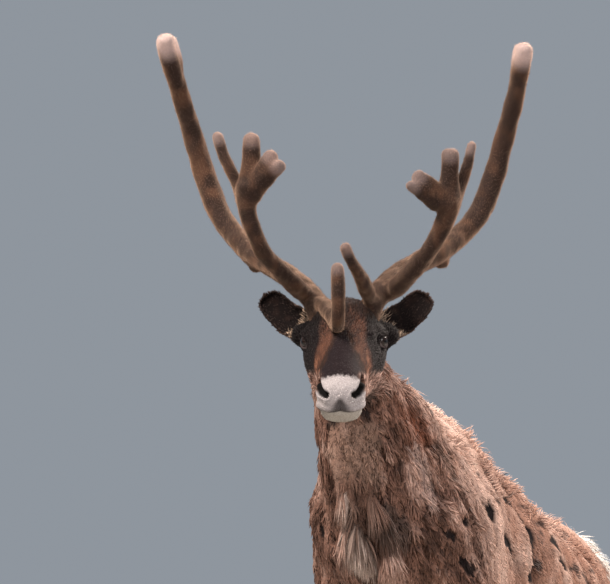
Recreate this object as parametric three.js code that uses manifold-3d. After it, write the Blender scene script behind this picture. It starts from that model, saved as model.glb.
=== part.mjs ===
// A life-size model of a reindeer bull in summer velvet: trunk, neck, head, ears, eyes, legs, hooves, tail
// and antlers.
// Millimetres, +Z up, trunk facing -Y. The origin is under the middle of the model, on the floor.
import * as THREE from "three";
import { mergeVertices } from "three/addons/utils/BufferGeometryUtils.js";
import Module from "manifold-3d";

const wasm = await Module();
wasm.setup();

// Driving sizes
const WITHERS_AT = [66, -153, 0]; // floor point under the withers, in the model's own frame
const EYES_AT = [23, -506, 1338]; // midpoint of the two eyes, from the point under the withers
const HEAD_TURN = 19.6; // degrees that the head looks to the animal's left
const FACE_DROP = 29; // degrees that the face slopes down
const SKIN_GAP = 0.3; // clear space between neighbouring pieces
const SIDES = [-1, 1]; // right, left

const COLOUR = {
  coat: 0x94705f,
  neck: 0x8a6a5c,
  face: 0x4a3732,
  leg: 0x5a453b,
  tail: 0xd8cfc6,
  horn: 0x2b2626,
  eye: 0x17100f,
  velvet: 0x5b4137,
};

// Solids from closed meshes, and meshes from solids

function solidOf(geometry) {
  const bare = geometry.index ? geometry.toNonIndexed() : geometry.clone();
  bare.deleteAttribute("normal");
  bare.deleteAttribute("uv");
  const merged = mergeVertices(bare, 1e-3);
  const make = (tri) =>
    new wasm.Manifold(
      new wasm.Mesh({ numProp: 3, vertProperties: merged.attributes.position.array, triVerts: tri }),
    );
  const tri = new Uint32Array(merged.index.array);
  const solid = make(tri);
  return solid.volume() > 0 ? solid : make(tri.reverse());
}

function geometryOf(solid) {
  const mesh = solid.getMesh();
  const places = new Float32Array(mesh.numVert * 3);
  for (let i = 0; i < mesh.numVert; i++)
    places.set(mesh.vertProperties.subarray(i * mesh.numProp, i * mesh.numProp + 3), i * 3);
  const geometry = new THREE.BufferGeometry();
  geometry.setAttribute("position", new THREE.BufferAttribute(places, 3));
  geometry.setIndex(new THREE.BufferAttribute(mesh.triVerts, 1));
  geometry.computeVertexNormals();
  return geometry;
}

function nodeOf(name, solid, colour, roughness = 0.9) {
  const material = new THREE.MeshStandardMaterial({ color: colour, roughness, metalness: 0 });
  const mesh = new THREE.Mesh(geometryOf(solid), material);
  mesh.name = name;
  return mesh;
}

// Catmull-Rom value of a row of equal-length number lists, at t from 0 to 1
function between(rows, t) {
  const s = t * (rows.length - 1);
  const i = Math.min(Math.floor(s), rows.length - 2);
  const u = s - i;
  const [a, b, c, d] = [-1, 0, 1, 2].map((k) => rows[Math.min(Math.max(i + k, 0), rows.length - 1)]);
  return b.map((_, k) => {
    const slope0 = (c[k] - a[k]) / 2;
    const slope1 = (d[k] - b[k]) / 2;
    const rise = c[k] - b[k];
    const cubic = slope0 + slope1 - 2 * rise;
    const square = 3 * rise - 2 * slope0 - slope1;
    return b[k] + u * (slope0 + u * (square + u * cubic));
  });
}

// A closed body over oval sections along a line. Each row is x, y, z, half width, height up, height down, and
// then how far the top narrows to a ridge and the bottom to a keel (0 to 1). Both ends are domed by the lengths
// in caps.
function loft(rows, options = {}) {
  const { rings = 16, sides = 16, caps = [8, 8], grow = 0, across = [1, 0, 0], box = 1, dome = 1 } = options;
  const full = rows.map((r) => [...r, 0, 0].slice(0, 8));
  const stations = [];
  for (let k = dome; k > 0; k--) stations.push([0, k / (dome + 0.35)]);
  for (let k = 0; k <= rings; k++) stations.push([k / rings, 0]);
  for (let k = 1; k <= dome; k++) stations.push([1, k / (dome + 0.35)]);
  const places = [];
  const tip = [];
  const step = 1e-3;
  const sideways = new THREE.Vector3(...across);
  for (const [t, out] of stations) {
    const now = between(full, t);
    const before = between(full, Math.max(t - step, 0));
    const after = between(full, Math.min(t + step, 1));
    const behind = new THREE.Vector3(...before.slice(0, 3));
    const along = new THREE.Vector3(...after.slice(0, 3)).sub(behind).normalize();
    const side = sideways.clone().addScaledVector(along, -sideways.dot(along)).normalize();
    const up = side.clone().cross(along);
    const end = t === 0 ? -1 : 1;
    const cap = (t === 0 ? caps[0] : caps[1]) + grow;
    const centre = new THREE.Vector3(...now.slice(0, 3)).addScaledVector(along, end * cap * out);
    const shrink = Math.sqrt(1 - out * out);
    for (let k = 0; k < sides; k++) {
      const angle = (2 * Math.PI * (k + 0.5)) / sides;
      const [c, s] = [Math.cos(angle), Math.sin(angle)];
      const narrow = s > 0 ? 1 - now[6] * s * s : 1 - now[7] * s * s;
      const x = Math.sign(c) * Math.abs(c) ** box * (now[3] + grow) * narrow * shrink;
      const z = Math.sign(s) * Math.abs(s) ** box * ((s > 0 ? now[4] : now[5]) + grow) * shrink;
      places.push(centre.clone().addScaledVector(side, x).addScaledVector(up, z));
    }
    if (out === 0 && (t === 0 || t === 1)) {
      tip.push([centre.clone(), along.clone().multiplyScalar(end * cap)]);
    }
  }
  const count = stations.length;
  const poles = tip.map(([centre, reach]) => centre.add(reach));
  const index = [];
  for (let r = 0; r < count - 1; r++)
    for (let k = 0; k < sides; k++) {
      const [a, b] = [r * sides + k, r * sides + ((k + 1) % sides)];
      index.push(a, b, b + sides, a, b + sides, a + sides);
    }
  const [first, last] = [count * sides, count * sides + 1];
  for (let k = 0; k < sides; k++) {
    index.push(first, (k + 1) % sides, k);
    index.push(last, (count - 1) * sides + k, (count - 1) * sides + ((k + 1) % sides));
  }
  const geometry = new THREE.BufferGeometry().setFromPoints([...places, ...poles]);
  geometry.setIndex(index);
  return solidOf(geometry);
}

// A row of round sections: x, y, z and radius, with the section flattened across its depth
const round = (rows, flat = 1) => rows.map(([x, y, z, r]) => [x, y, z, r, r * flat, r * flat]);

const mirrored = (rows, side) => rows.map(([x, ...rest]) => [x * side, ...rest]);

const join = (solids) => solids.reduce((whole, s) => whole.add(s));
const carved = (solid, holes) => holes.reduce((rest, hole) => rest.subtract(hole), solid);

// The part of a solid on each side of a plane through a point, with the clear space between them
function parted(solid, normal, through) {
  const n = new THREE.Vector3(...normal).normalize();
  const offset = n.dot(new THREE.Vector3(...through));
  const ahead = solid.trimByPlane(n.toArray(), offset + SKIN_GAP / 2);
  const behind = solid.trimByPlane(n.clone().negate().toArray(), -offset + SKIN_GAP / 2);
  return [ahead, behind];
}

function boxAt([x0, y0, z0], [x1, y1, z1]) {
  const geometry = new THREE.BoxGeometry(x1 - x0, y1 - y0, z1 - z0);
  geometry.translate((x0 + x1) / 2, (y0 + y1) / 2, (z0 + z1) / 2);
  return solidOf(geometry);
}

function ball(at, radius, segments = 10) {
  const geometry = new THREE.SphereGeometry(radius, segments, segments - 4);
  geometry.translate(...at);
  return solidOf(geometry);
}

// Where the skull and the face stand in the body's frame
const skullPlace = new THREE.Matrix4()
  .makeTranslation(...EYES_AT)
  .multiply(new THREE.Matrix4().makeRotationZ(THREE.MathUtils.degToRad(HEAD_TURN)));
const faceDrop = new THREE.Matrix4().makeRotationX(THREE.MathUtils.degToRad(FACE_DROP));
const facePlace = skullPlace.clone().multiply(faceDrop);
const placed = (solid, matrix) => solid.transform(matrix.elements);

// Trunk: y from the withers, top line, bottom line, half width, ridge, height of the widest place
const TRUNK = [
  [-312, 965, 836, 66, 0, 900],
  [-276, 1056, 784, 122, 0.06, 920],
  [-220, 1140, 738, 166, 0.1, 955],
  [-140, 1228, 692, 190, 0.14, 968],
  [-50, 1244, 650, 198, 0.26, 963],
  [60, 1218, 622, 203, 0.42, 923],
  [200, 1164, 618, 211, 0.42, 883],
  [350, 1114, 622, 213, 0.38, 853],
  [500, 1072, 636, 202, 0.34, 843],
  [640, 1043, 664, 178, 0.34, 853],
  [760, 1036, 694, 146, 0.36, 863],
  [860, 1012, 722, 126, 0.3, 868],
  [940, 978, 762, 102, 0.16, 868],
  [985, 934, 806, 68, 0, 870],
];
const trunkRows = TRUNK.map(([y, top, bottom, wide, ridge, z]) => {
  return [0, y, z, wide, top - z, z - bottom, ridge, 0.12];
});

// Shoulder with upper arm, and haunch: x out, y back, z, half width, depth back, depth front
const SHOULDER = [
  [50, -16, 1140, 36, 54, 56],
  [112, -58, 1034, 80, 92, 98],
  [128, -92, 900, 74, 104, 104],
  [125, -78, 780, 64, 94, 92],
  [118, -10, 680, 44, 62, 54],
];
const HAUNCH = [
  [42, 796, 968, 40, 80, 84],
  [68, 810, 890, 60, 128, 122],
  [88, 810, 800, 65, 150, 136],
  [100, 814, 720, 56, 146, 112],
  [107, 836, 650, 44, 116, 78],
];

// Legs from elbow and stifle down to the coronet of the hoof
const FORELEG = [
  [116, -6, 700, 46, 68, 62],
  [117, 4, 610, 40, 52, 48],
  [116, 0, 520, 34, 38, 38],
  [116, -6, 430, 29, 31, 32],
  [116, -10, 375, 31, 33, 36],
  [116, -6, 320, 25, 28, 27],
  [116, -4, 230, 22, 25, 24],
  [117, -6, 145, 28, 33, 28],
  [118, -20, 104, 29, 30, 30],
  [118, -34, 66, 38, 36, 38],
];
const HINDLEG = [
  [107, 834, 690, 48, 124, 88],
  [109, 864, 605, 40, 84, 62],
  [108, 900, 535, 33, 56, 44],
  [106, 930, 474, 31, 44, 44],
  [106, 926, 410, 26, 33, 34],
  [107, 908, 290, 23, 28, 27],
  [110, 898, 150, 28, 34, 29],
  [111, 882, 106, 29, 31, 31],
  [112, 866, 66, 38, 36, 38],
];
const FORE_STEP = { right: 34, left: -30 }; // how far each forefoot is ahead (-) or behind (+)
const HIND_STEP = { right: -26, left: 40 };
const ELBOW_CUT = 604;
const STIFLE_CUT = 648;

// A leg's foot moves by the step while its top stays in the body
const stepped = (rows, step) => {
  const top = rows[0][2];
  return rows.map(([x, y, z, ...rest]) => [x, y + step * Math.min(1, (top - z) / (top * 0.6)), z, ...rest]);
};
const sideName = (side) => (side < 0 ? "right" : "left");
const legRows = (rows, steps, side) => mirrored(stepped(rows, steps[sideName(side)]), side);

// Neck from the head back into the trunk, with the hanging mane in its lower line
const NECK = [
  [-6, -428, 1318, 76, 76, 92, 0.1, 0.2],
  [-10, -385, 1280, 90, 86, 112, 0.12, 0.28],
  [-8, -325, 1217, 116, 114, 154, 0.14, 0.34],
  [-4, -255, 1142, 135, 164, 202, 0.1, 0.36],
  [-2, -180, 1068, 156, 200, 232, 0.1, 0.34],
  [0, -100, 1000, 168, 226, 240, 0.2, 0.3],
  [0, -20, 945, 172, 240, 226, 0.34, 0.2],
];

// Head in the face frame: y back from the eyes, top, bottom, half width, ridge, keel
const SKULL = [
  [-247, 2, -60, 36, 0.06, 0.14],
  [-236, 17, -73, 44, 0.04, 0.16],
  [-216, 25, -84, 47, 0.04, 0.2],
  [-188, 30, -91, 48, 0.08, 0.24],
  [-150, 36, -97, 50, 0.18, 0.25],
  [-105, 43, -107, 56, 0.24, 0.3],
  [-60, 51, -118, 69, 0.22, 0.34],
  [-20, 59, -130, 82, 0.16, 0.36],
  [20, 66, -138, 87, 0.14, 0.36],
  [60, 68, -134, 86, 0.16, 0.34],
  [98, 60, -110, 78, 0.2, 0.3],
  [124, 38, -80, 58, 0.2, 0.2],
];
const headRows = (rows) =>
  rows.map(([y, top, bottom, wide, ridge, keel]) => {
    const z = (top + bottom) / 2;
    return [0, y, z, wide, top - z, z - bottom, ridge, keel];
  });

// Eyeball, bony rim round it, and the opening between the lids, in the face frame
const EYE = { radius: 19.5, out: 70, back: 2, up: -3 };
const RIM = { out: 63, back: 3, up: 1, radius: 27.5 };
const EAR_ROOT = { out: 86, back: 60, up: -18, radius: 28 }; // swelling behind the eye, under the ear
const GAZE = [0.9, -0.4, 0.12];
const LIDS = { long: 16, high: 11, from: 6, to: 44 };

// Ears in the skull frame: root to tip, with half width across the cup and half depth
const EAR = [
  [74, 62, 12, 26, 18, 18],
  [91, 82, 34, 31, 18, 18],
  [117, 101, 57, 35, 17, 17],
  [143, 115, 80, 32, 13, 13],
  [163, 125, 100, 19, 8, 8],
];
const EAR_FACE = [0.55, -0.15, -0.82]; // direction across the ear's width, in the skull frame
const EAR_CUP = [4, -13, 3]; // how far the hollow of the cup is moved towards the front

// Antlers in the skull frame: out, back, up from the eyes, then radius
const BEAM = {
  right: [
    [46, 40, 42, 26],
    [60, 70, 80, 27],
    [93, 130, 120, 25],
    [142, 200, 158, 26],
    [194, 260, 192, 26],
    [237, 310, 238, 25],
    [275, 340, 298, 25],
    [304, 350, 380, 24],
    [329, 332, 464, 22],
    [351, 296, 540, 21],
    [367, 264, 594, 21],
    [376, 240, 634, 20],
  ],
  left: [
    [46, 40, 42, 26],
    [60, 70, 86, 27],
    [93, 130, 132, 25],
    [139, 200, 168, 26],
    [189, 260, 200, 26],
    [232, 310, 240, 25],
    [270, 340, 292, 25],
    [300, 350, 370, 24],
    [323, 332, 450, 22],
    [342, 296, 522, 21],
    [353, 264, 574, 21],
    [361, 240, 612, 20],
  ],
};
const FORK_ROW = 3; // the beam is parted a little past the first forks
const BEAM_FLAT = 0.82;
const TIP_FORK = {
  right: [
    [354, 302, 570, 15],
    [361, 284, 612, 16],
    [366, 280, 636, 15],
  ],
  left: [
    [344, 300, 552, 15],
    [348, 282, 592, 16],
    [350, 278, 616, 15],
  ],
};
const REAR_KNOB = { right: [190, 270, 172], left: [190, 278, 180] };
const BEZ_SHAFT = {
  right: [
    [76, 98, 100, 19],
    [92, 58, 104, 21],
    [120, 18, 132, 20],
    [152, -20, 164, 19],
    [172, -45, 198, 19],
    [187, -60, 240, 19],
    [191, -66, 272, 22],
    [190, -72, 302, 27],
  ],
  left: [
    [76, 98, 100, 19],
    [100, 60, 106, 21],
    [132, 20, 134, 21],
    [167, -20, 172, 20],
    [193, -45, 210, 20],
    [208, -60, 244, 22],
    [210, -68, 268, 26],
  ],
};
const FINGERS = {
  right: {
    outer: [[197, -52, 272, 16], [216, -44, 318, 14], [238, -42, 366, 13], [252, -40, 404, 13]],
    middle: [[191, -68, 288, 27], [184, -74, 345, 21], [181, -78, 396, 19]],
    inner: [[184, -72, 286, 27], [158, -86, 326, 23], [141, -96, 360, 17]],
    lobe: [[172, -78, 298, 24], [143, -94, 324, 20], [124, -104, 339, 16]],
  },
  left: {
    outer: [[218, -54, 258, 16], [236, -46, 306, 14], [250, -42, 352, 13], [257, -40, 382, 13]],
    middle: [[210, -66, 268, 27], [212, -72, 318, 21], [215, -78, 364, 20]],
    inner: [[204, -70, 266, 26], [172, -84, 296, 24], [150, -96, 318, 18]],
    lobe: [[190, -76, 266, 24], [158, -92, 288, 20], [135, -104, 298, 15]],
  },
};
const PALM_FLAT = 0.66;
const BROW_TINE = {
  right: [
    [54, 62, 74, 17],
    [40, 18, 70, 17],
    [22, -42, 48, 16],
    [10, -88, 30, 16],
    [7, -118, 56, 16],
    [8, -126, 92, 16],
    [9, -124, 132, 15],
  ],
  left: [
    [56, 64, 74, 17],
    [51, 30, 86, 17],
    [36, -20, 118, 16],
    [21, -50, 146, 15],
    [5, -70, 178, 14],
  ],
};

// Hoof sole outline, half a heart: width and length are those of one toe
const TOE = { wide: 48, long: 100, high: 60, apart: 4, lean: 18 };
const DEWCLAW = { out: 26, back: 56, up: 74, long: 50, radius: 12 };

const TAIL = [
  [0, 930, 982, 34, 22, 22],
  [0, 978, 966, 34, 18, 22],
  [0, 1004, 922, 30, 15, 17],
  [0, 1008, 868, 18, 10, 11],
];

function bodyOfFlesh() {
  const muscle = { rings: 4, sides: 8, caps: [30, 20] };
  const leg = { rings: 9, sides: 8, caps: [30, 4] };
  const limbs = SIDES.flatMap((side) => [
    loft(mirrored(SHOULDER, side), muscle),
    loft(mirrored(HAUNCH, side), muscle),
    loft(legRows(FORELEG, FORE_STEP, side), leg),
    loft(legRows(HINDLEG, HIND_STEP, side), leg),
  ]);
  return join([loft(trunkRows, { rings: 14, sides: 14, caps: [26, 22] }), ...limbs]);
}

const eyeCentre = (side) => [EYE.out * side, EYE.back, EYE.up];

// The room that the eyeball and the opening of its lids take out of the head
function eyeRoom(side) {
  const [x, y, z] = eyeCentre(side);
  const rows = [LIDS.from, (LIDS.from + LIDS.to) / 2, LIDS.to].map((reach, k) => [
    x + GAZE[0] * side * reach,
    y + GAZE[1] * reach,
    z + GAZE[2] * reach,
    LIDS.long + 2 * k,
    LIDS.high + 2 * k,
    LIDS.high + 2 * k,
  ]);
  const opening = loft(rows, { rings: 2, sides: 8, caps: [2, 2], across: [0, -1, -0.15], dome: 0 });
  return ball(eyeCentre(side), EYE.radius + SKIN_GAP).add(opening);
}

function headInBody() {
  const skull = loft(headRows(SKULL), { rings: 12, sides: 14, caps: [9, 20], box: 0.84 });
  const swellings = [RIM, EAR_ROOT].flatMap(({ out, back, up, radius }) =>
    SIDES.map((side) => ball([out * side, back, up], radius)),
  );
  return placed(join([skull, ...swellings]), facePlace);
}

function ear(side, grow = 0) {
  const across = [EAR_FACE[0] * side, EAR_FACE[1], EAR_FACE[2]];
  const outer = loft(mirrored(EAR, side), { rings: 5, sides: 10, caps: [12, 9], across, grow });
  const cup = mirrored(EAR, side).map(([x, y, z, wide, back, front]) => [
    x + EAR_CUP[0] * side,
    y + EAR_CUP[1],
    z + EAR_CUP[2],
    wide - 3,
    back,
    front,
  ]);
  const hollow = loft(cup.slice(1), { rings: 3, sides: 8, caps: [4, 2], across });
  return placed(grow ? outer : outer.subtract(hollow), skullPlace);
}

function antlerPieces(side, grow = 0) {
  const name = sideName(side);
  const make = (rows, rings, flat = 1, sides = 6) =>
    loft(mirrored(round(rows, flat), side), { rings, sides, caps: [10, 13], grow });
  const beam = join([
    make(BEAM[name], 13, BEAM_FLAT, 8),
    make(TIP_FORK[name], 3),
    ball([REAR_KNOB[name][0] * side, ...REAR_KNOB[name].slice(1)], 19 + grow, 8),
  ]);
  const shaft = make(BEZ_SHAFT[name], 7, 0.9);
  const palm = ["middle", "inner", "lobe"].map((finger) => make(FINGERS[name][finger], 3, PALM_FLAT));
  return {
    beam,
    bez: join([shaft, ...palm]),
    outer: make(FINGERS[name].outer, 4),
    brow: make(BROW_TINE[name], 7),
  };
}

function antler(side) {
  const { beam, bez, outer, brow } = antlerPieces(side);
  const wide = antlerPieces(side, SKIN_GAP);
  const name = sideName(side);
  const [cutAt, next] = BEAM[name].slice(FORK_ROW, FORK_ROW + 2);
  const along = next.slice(0, 3).map((value, k) => (value - cutAt[k]) * (k === 0 ? side : 1));
  const [upper, lower] = parted(beam, along, [cutAt[0] * side, cutAt[1], cutAt[2]]);
  const label = "antler_" + name;
  const pieces = {
    [label + "_beam_lower"]: lower,
    [label + "_beam_upper"]: upper,
    [label + "_bez"]: bez.subtract(wide.beam),
    [label + "_bez_outer_tine"]: outer.subtract(wide.bez).subtract(wide.beam),
    [label + "_brow_tine"]: brow.subtract(wide.beam).subtract(wide.bez),
  };
  return Object.entries(pieces).map(([piece, solid]) => [piece, placed(solid, skullPlace)]);
}

const biggest = (solid) => solid.decompose().sort((a, b) => b.volume() - a.volume())[0];

// One toe: sections from the sole up, pointed in front, straight on the inner side
function toe(x, y, turn) {
  const outline = 10;
  const levels = [0, 20, TOE.high];
  const places = [];
  for (const z of levels) {
    const rise = z / TOE.high;
    const shrink = 1 - 0.3 * rise;
    for (let k = 0; k < outline; k++) {
      const angle = (2 * Math.PI * k) / outline;
      const [c, s] = [Math.cos(angle), Math.sin(angle)];
      const pointed = s < 0 ? 1 - 0.4 * s * s : 1;
      const inner = c * turn < 0 ? 0.72 : 1;
      const across = (c * TOE.wide * 0.5 * shrink * pointed * inner) + turn * (TOE.wide * 0.36 + TOE.apart);
      const along = s * TOE.long * 0.5 * (1 - 0.3 * rise) + TOE.lean * rise - TOE.long * 0.12;
      places.push(new THREE.Vector3(x + across, y + along, z));
    }
  }
  const index = [];
  for (let r = 0; r < levels.length - 1; r++)
    for (let k = 0; k < outline; k++) {
      const [a, b] = [r * outline + k, r * outline + ((k + 1) % outline)];
      index.push(a, b, b + outline, a, b + outline, a + outline);
    }
  const top = (levels.length - 1) * outline;
  for (let k = 1; k < outline - 1; k++) index.push(0, k + 1, k, top, top + k, top + k + 1);
  const geometry = new THREE.BufferGeometry().setFromPoints(places);
  geometry.setIndex(index);
  return solidOf(geometry);
}

function dewclaw(x, y, turn) {
  const rows = [
    [x + turn * (DEWCLAW.out - 6), y + DEWCLAW.back - 22, DEWCLAW.up + 22, 9, 9, 9],
    [x + turn * DEWCLAW.out, y + DEWCLAW.back, DEWCLAW.up, DEWCLAW.radius, 11, 10],
    [x + turn * (DEWCLAW.out + 3), y + DEWCLAW.back + 4, DEWCLAW.up - DEWCLAW.long * 0.6, 9, 7, 6],
  ];
  return loft(rows, { rings: 2, sides: 6, caps: [4, 8] });
}

function feet(legs) {
  const made = [];
  for (const { label, rows } of legs) {
    const foot = rows[rows.length - 1];
    for (const turn of SIDES) {
      const where = turn * Math.sign(foot[0]) > 0 ? "outer" : "inner";
      made.push([`hoof_${label}_${where}`, toe(foot[0], foot[1], turn)]);
      made.push([`dewclaw_${label}_${where}`, dewclaw(foot[0], foot[1], turn)]);
    }
  }
  return made;
}

const LEGS = SIDES.flatMap((side) => [
  {
    label: "fore_" + sideName(side),
    rows: legRows(FORELEG, FORE_STEP, side),
    cut: ELBOW_CUT,
    reach: [-190, 130],
  },
  {
    label: "hind_" + sideName(side),
    rows: legRows(HINDLEG, HIND_STEP, side),
    cut: STIFLE_CUT,
    reach: [640, 1060],
  },
]);

function buildReindeer() {
  const nodes = [];
  const add = (name, solid, colour, roughness) => nodes.push(nodeOf(name, biggest(solid), colour, roughness));

  const flesh = join([bodyOfFlesh(), loft(NECK, { rings: 7, sides: 12, caps: [24, 30] }), headInBody()]);
  const headCut = { normal: [0.06, -0.86, 0.52], through: [22, -414, 1330] };
  const chestCut = { normal: [0, -0.93, 0.36], through: [0, -190, 1060] };
  const [frontOfChest, body] = parted(flesh, chestCut.normal, chestCut.through);
  const [headWhole, neck] = parted(frontOfChest, headCut.normal, headCut.through);

  const antlers = SIDES.flatMap(antler);
  const eyeHoles = SIDES.map((side) => placed(eyeRoom(side), facePlace));
  const antlerRoom = SIDES.flatMap((side) => {
    const { beam, bez, brow } = antlerPieces(side, SKIN_GAP);
    return [beam, bez, brow].map((solid) => placed(solid, skullPlace));
  });
  const earRoom = SIDES.map((side) => ear(side, SKIN_GAP));
  add("head", carved(headWhole, [...eyeHoles, ...antlerRoom, ...earRoom]), COLOUR.face);
  add("neck", carved(neck, earRoom), COLOUR.neck);

  const footPieces = feet(LEGS);
  const footRoom = footPieces.map(([, solid]) => solid);
  let trunk = body;
  for (const { label, rows, cut, reach } of LEGS) {
    const side = Math.sign(rows[0][0]);
    const [x0, x1] = side < 0 ? [-320, -34] : [34, 320];
    const [forward, backward] = reach;
    const room = boxAt([x0, forward, -5], [x1, backward, cut - SKIN_GAP]);
    const taken = boxAt([x0, forward, -5], [x1, backward, cut]);
    const leg = carved(body.intersect(room), footRoom);
    trunk = trunk.subtract(taken);
    const knee = label.startsWith("fore") ? [0, 0, 388] : [0, 0, 486];
    const [upper, lower] = parted(leg, [0, 0, 1], knee);
    add(`leg_${label}_upper`, upper, COLOUR.leg);
    add(`leg_${label}_lower`, lower, COLOUR.leg);
  }
  const tail = loft(TAIL, { rings: 4, sides: 8, caps: [10, 14] });
  const tailRoom = loft(TAIL, { rings: 4, sides: 8, caps: [10, 14], grow: SKIN_GAP });
  add("trunk", trunk.subtract(tailRoom), COLOUR.coat);
  add("tail", tail, COLOUR.tail);

  for (const [name, solid] of footPieces) add(name, solid, COLOUR.horn, 0.55);
  for (const side of SIDES) {
    add("ear_" + sideName(side), carved(ear(side), antlerRoom), COLOUR.face);
    add("eye_" + sideName(side), placed(ball(eyeCentre(side), EYE.radius), facePlace), COLOUR.eye, 0.1);
  }
  for (const [name, solid] of antlers) add(name, solid, COLOUR.velvet);
  return nodes;
}

const reindeer = new THREE.Group();
reindeer.name = "reindeer";
reindeer.position.set(...WITHERS_AT);
reindeer.add(...buildReindeer());
export default reindeer;
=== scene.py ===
# Reindeer bull in summer velvet: skin, coat, antlers, eyes, hooves, soft studio light and camera.
# Shape tables are in millimetres from the floor point under the withers, and the meshes are in metres.
import math

import bmesh
import bpy
import numpy as np
from mathutils import Matrix, Vector


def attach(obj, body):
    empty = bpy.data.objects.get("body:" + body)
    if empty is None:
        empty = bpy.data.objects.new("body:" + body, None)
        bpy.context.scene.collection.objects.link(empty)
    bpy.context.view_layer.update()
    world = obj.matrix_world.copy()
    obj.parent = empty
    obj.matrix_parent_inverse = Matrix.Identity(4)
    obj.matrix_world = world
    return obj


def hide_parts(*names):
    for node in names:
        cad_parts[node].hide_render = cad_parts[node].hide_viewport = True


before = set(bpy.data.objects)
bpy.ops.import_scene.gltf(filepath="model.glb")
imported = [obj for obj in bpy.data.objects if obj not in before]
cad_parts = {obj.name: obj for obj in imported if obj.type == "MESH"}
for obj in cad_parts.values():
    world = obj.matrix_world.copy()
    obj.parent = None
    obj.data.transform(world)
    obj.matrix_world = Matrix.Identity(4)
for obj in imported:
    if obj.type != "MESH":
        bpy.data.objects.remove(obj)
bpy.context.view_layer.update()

millimetre = 0.001
withersAt = np.array([66.0, -153.0, 0.0])
eyesAt = np.array([23.0, -506.0, 1338.0])
headTurn = math.radians(19.6)
faceDrop = math.radians(29.0)
rightLeft = [(-1, "right"), (1, "left")]


def turned(axis, angle):
    # rotation matrix about X or Z by an angle in radians
    return np.array(Matrix.Rotation(angle, 3, axis))


skullTurn = turned("Z", headTurn)
faceTurn = skullTurn @ turned("X", faceDrop)
eyesPlace = withersAt + eyesAt


def fromSkull(points):
    return points @ skullTurn.T + eyesPlace


def fromFace(points):
    return points @ faceTurn.T + eyesPlace


def toFace(points):
    return (points - eyesPlace) @ faceTurn


def unit(vectors):
    return vectors / np.maximum(np.linalg.norm(vectors, axis=-1, keepdims=True), 1e-9)


def ramp(values, low, high):
    # 0 below low, 1 above high, smooth between them
    t = np.clip((values - low) / (high - low), 0, 1)
    return t * t * (3 - 2 * t)


def linear(code):
    # sRGB hex to linear colour
    srgb = np.array([int(code[i:i + 2], 16) / 255 for i in (1, 3, 5)])
    return np.where(srgb <= 0.04045, srgb / 12.92, ((srgb + 0.055) / 1.055) ** 2.4)


def wobble(points, size, seed):
    # value noise, -1 to 1: each corner of a grid of that size has a random number, hashed from its place and
    # the seed with large odd numbers, and between corners they are blended smoothly
    cell = points / size + seed * 17.31
    low = np.floor(cell).astype(np.int64)
    t = cell - low
    t = t * t * (3 - 2 * t)
    total = np.zeros(len(points))
    for corner in np.ndindex(2, 2, 2):
        at = low + np.array(corner)
        hashed = at[:, 0] * 374761393 + at[:, 1] * 668265263 + at[:, 2] * 2147483647 + seed * 974711
        hashed = (hashed ^ (hashed >> 13)) * 1274126177
        chance = ((hashed ^ (hashed >> 16)) & 0xFFFFFF) / 0xFFFFFF
        weight = np.prod(np.where(corner, t, 1 - t), axis=1)
        total += weight * chance
    return total * 2 - 1


def between(rows, t):
    # Catmull-Rom curve through the rows, at t from 0 to 1
    rows = np.asarray(rows, float)
    s = np.clip(t, 0, 1) * (len(rows) - 1)
    i = np.minimum(np.floor(s).astype(int), len(rows) - 2)
    u = (s - i)[:, None]
    a, b, c, d = [rows[np.clip(i + k, 0, len(rows) - 1)] for k in (-1, 0, 1, 2)]
    slope0, slope1, rise = (c - a) / 2, (d - b) / 2, c - b
    return b + u * (slope0 + u * ((3 * rise - 2 * slope0 - slope1) + u * (slope0 + slope1 - 2 * rise)))


def ovalBody(rows, rings, sides, caps, box=1.0, domeRings=7):
    # Closed body: ovals carried along the smooth curve of their rows. A row is x, y, z, half width, height
    # up, height down, and how far the top narrows to a ridge and the bottom to a keel. Both ends are domed
    # by the lengths in caps: over a dome the ovals shrink by sqrt(1 - d * d) as d goes from 0 to 1. A box
    # under 1 makes the ovals squarer.
    full = np.zeros((len(rows), 8))
    for i, row in enumerate(rows):
        full[i, :len(row)] = row
    dome = np.arange(domeRings, 0, -1) / (domeRings + 0.35)
    t = np.concatenate([np.zeros(domeRings), np.linspace(0, 1, rings + 1), np.ones(domeRings)])
    out = np.concatenate([dome, np.zeros(rings + 1), dome[::-1]])
    now = between(full, t)
    along = unit(between(full, t + 1e-3)[:, :3] - between(full, t - 1e-3)[:, :3])
    side = unit([1.0, 0, 0] - along * along[:, :1])
    up = np.cross(side, along)
    end = np.where(t == 0, -1.0, 1.0)
    cap = np.where(t == 0, caps[0], caps[1])
    centre = now[:, :3] + along * (end * cap * out)[:, None]
    shrink = np.sqrt(1 - out * out)[:, None]
    angle = 2 * np.pi * (np.arange(sides) + 0.5) / sides
    c, s = np.cos(angle)[None, :], np.sin(angle)[None, :]
    narrow = np.where(s > 0, 1 - now[:, 6:7] * s * s, 1 - now[:, 7:8] * s * s)
    x = np.sign(c) * np.abs(c) ** box * now[:, 3:4] * narrow * shrink
    z = np.sign(s) * np.abs(s) ** box * np.where(s > 0, now[:, 4:5], now[:, 5:6]) * shrink
    grid = centre[:, None] + side[:, None] * x[..., None] + up[:, None] * z[..., None]
    return closedRings(grid, [now[0, :3] - along[0] * caps[0], now[-1, :3] + along[-1] * caps[1]])


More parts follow.
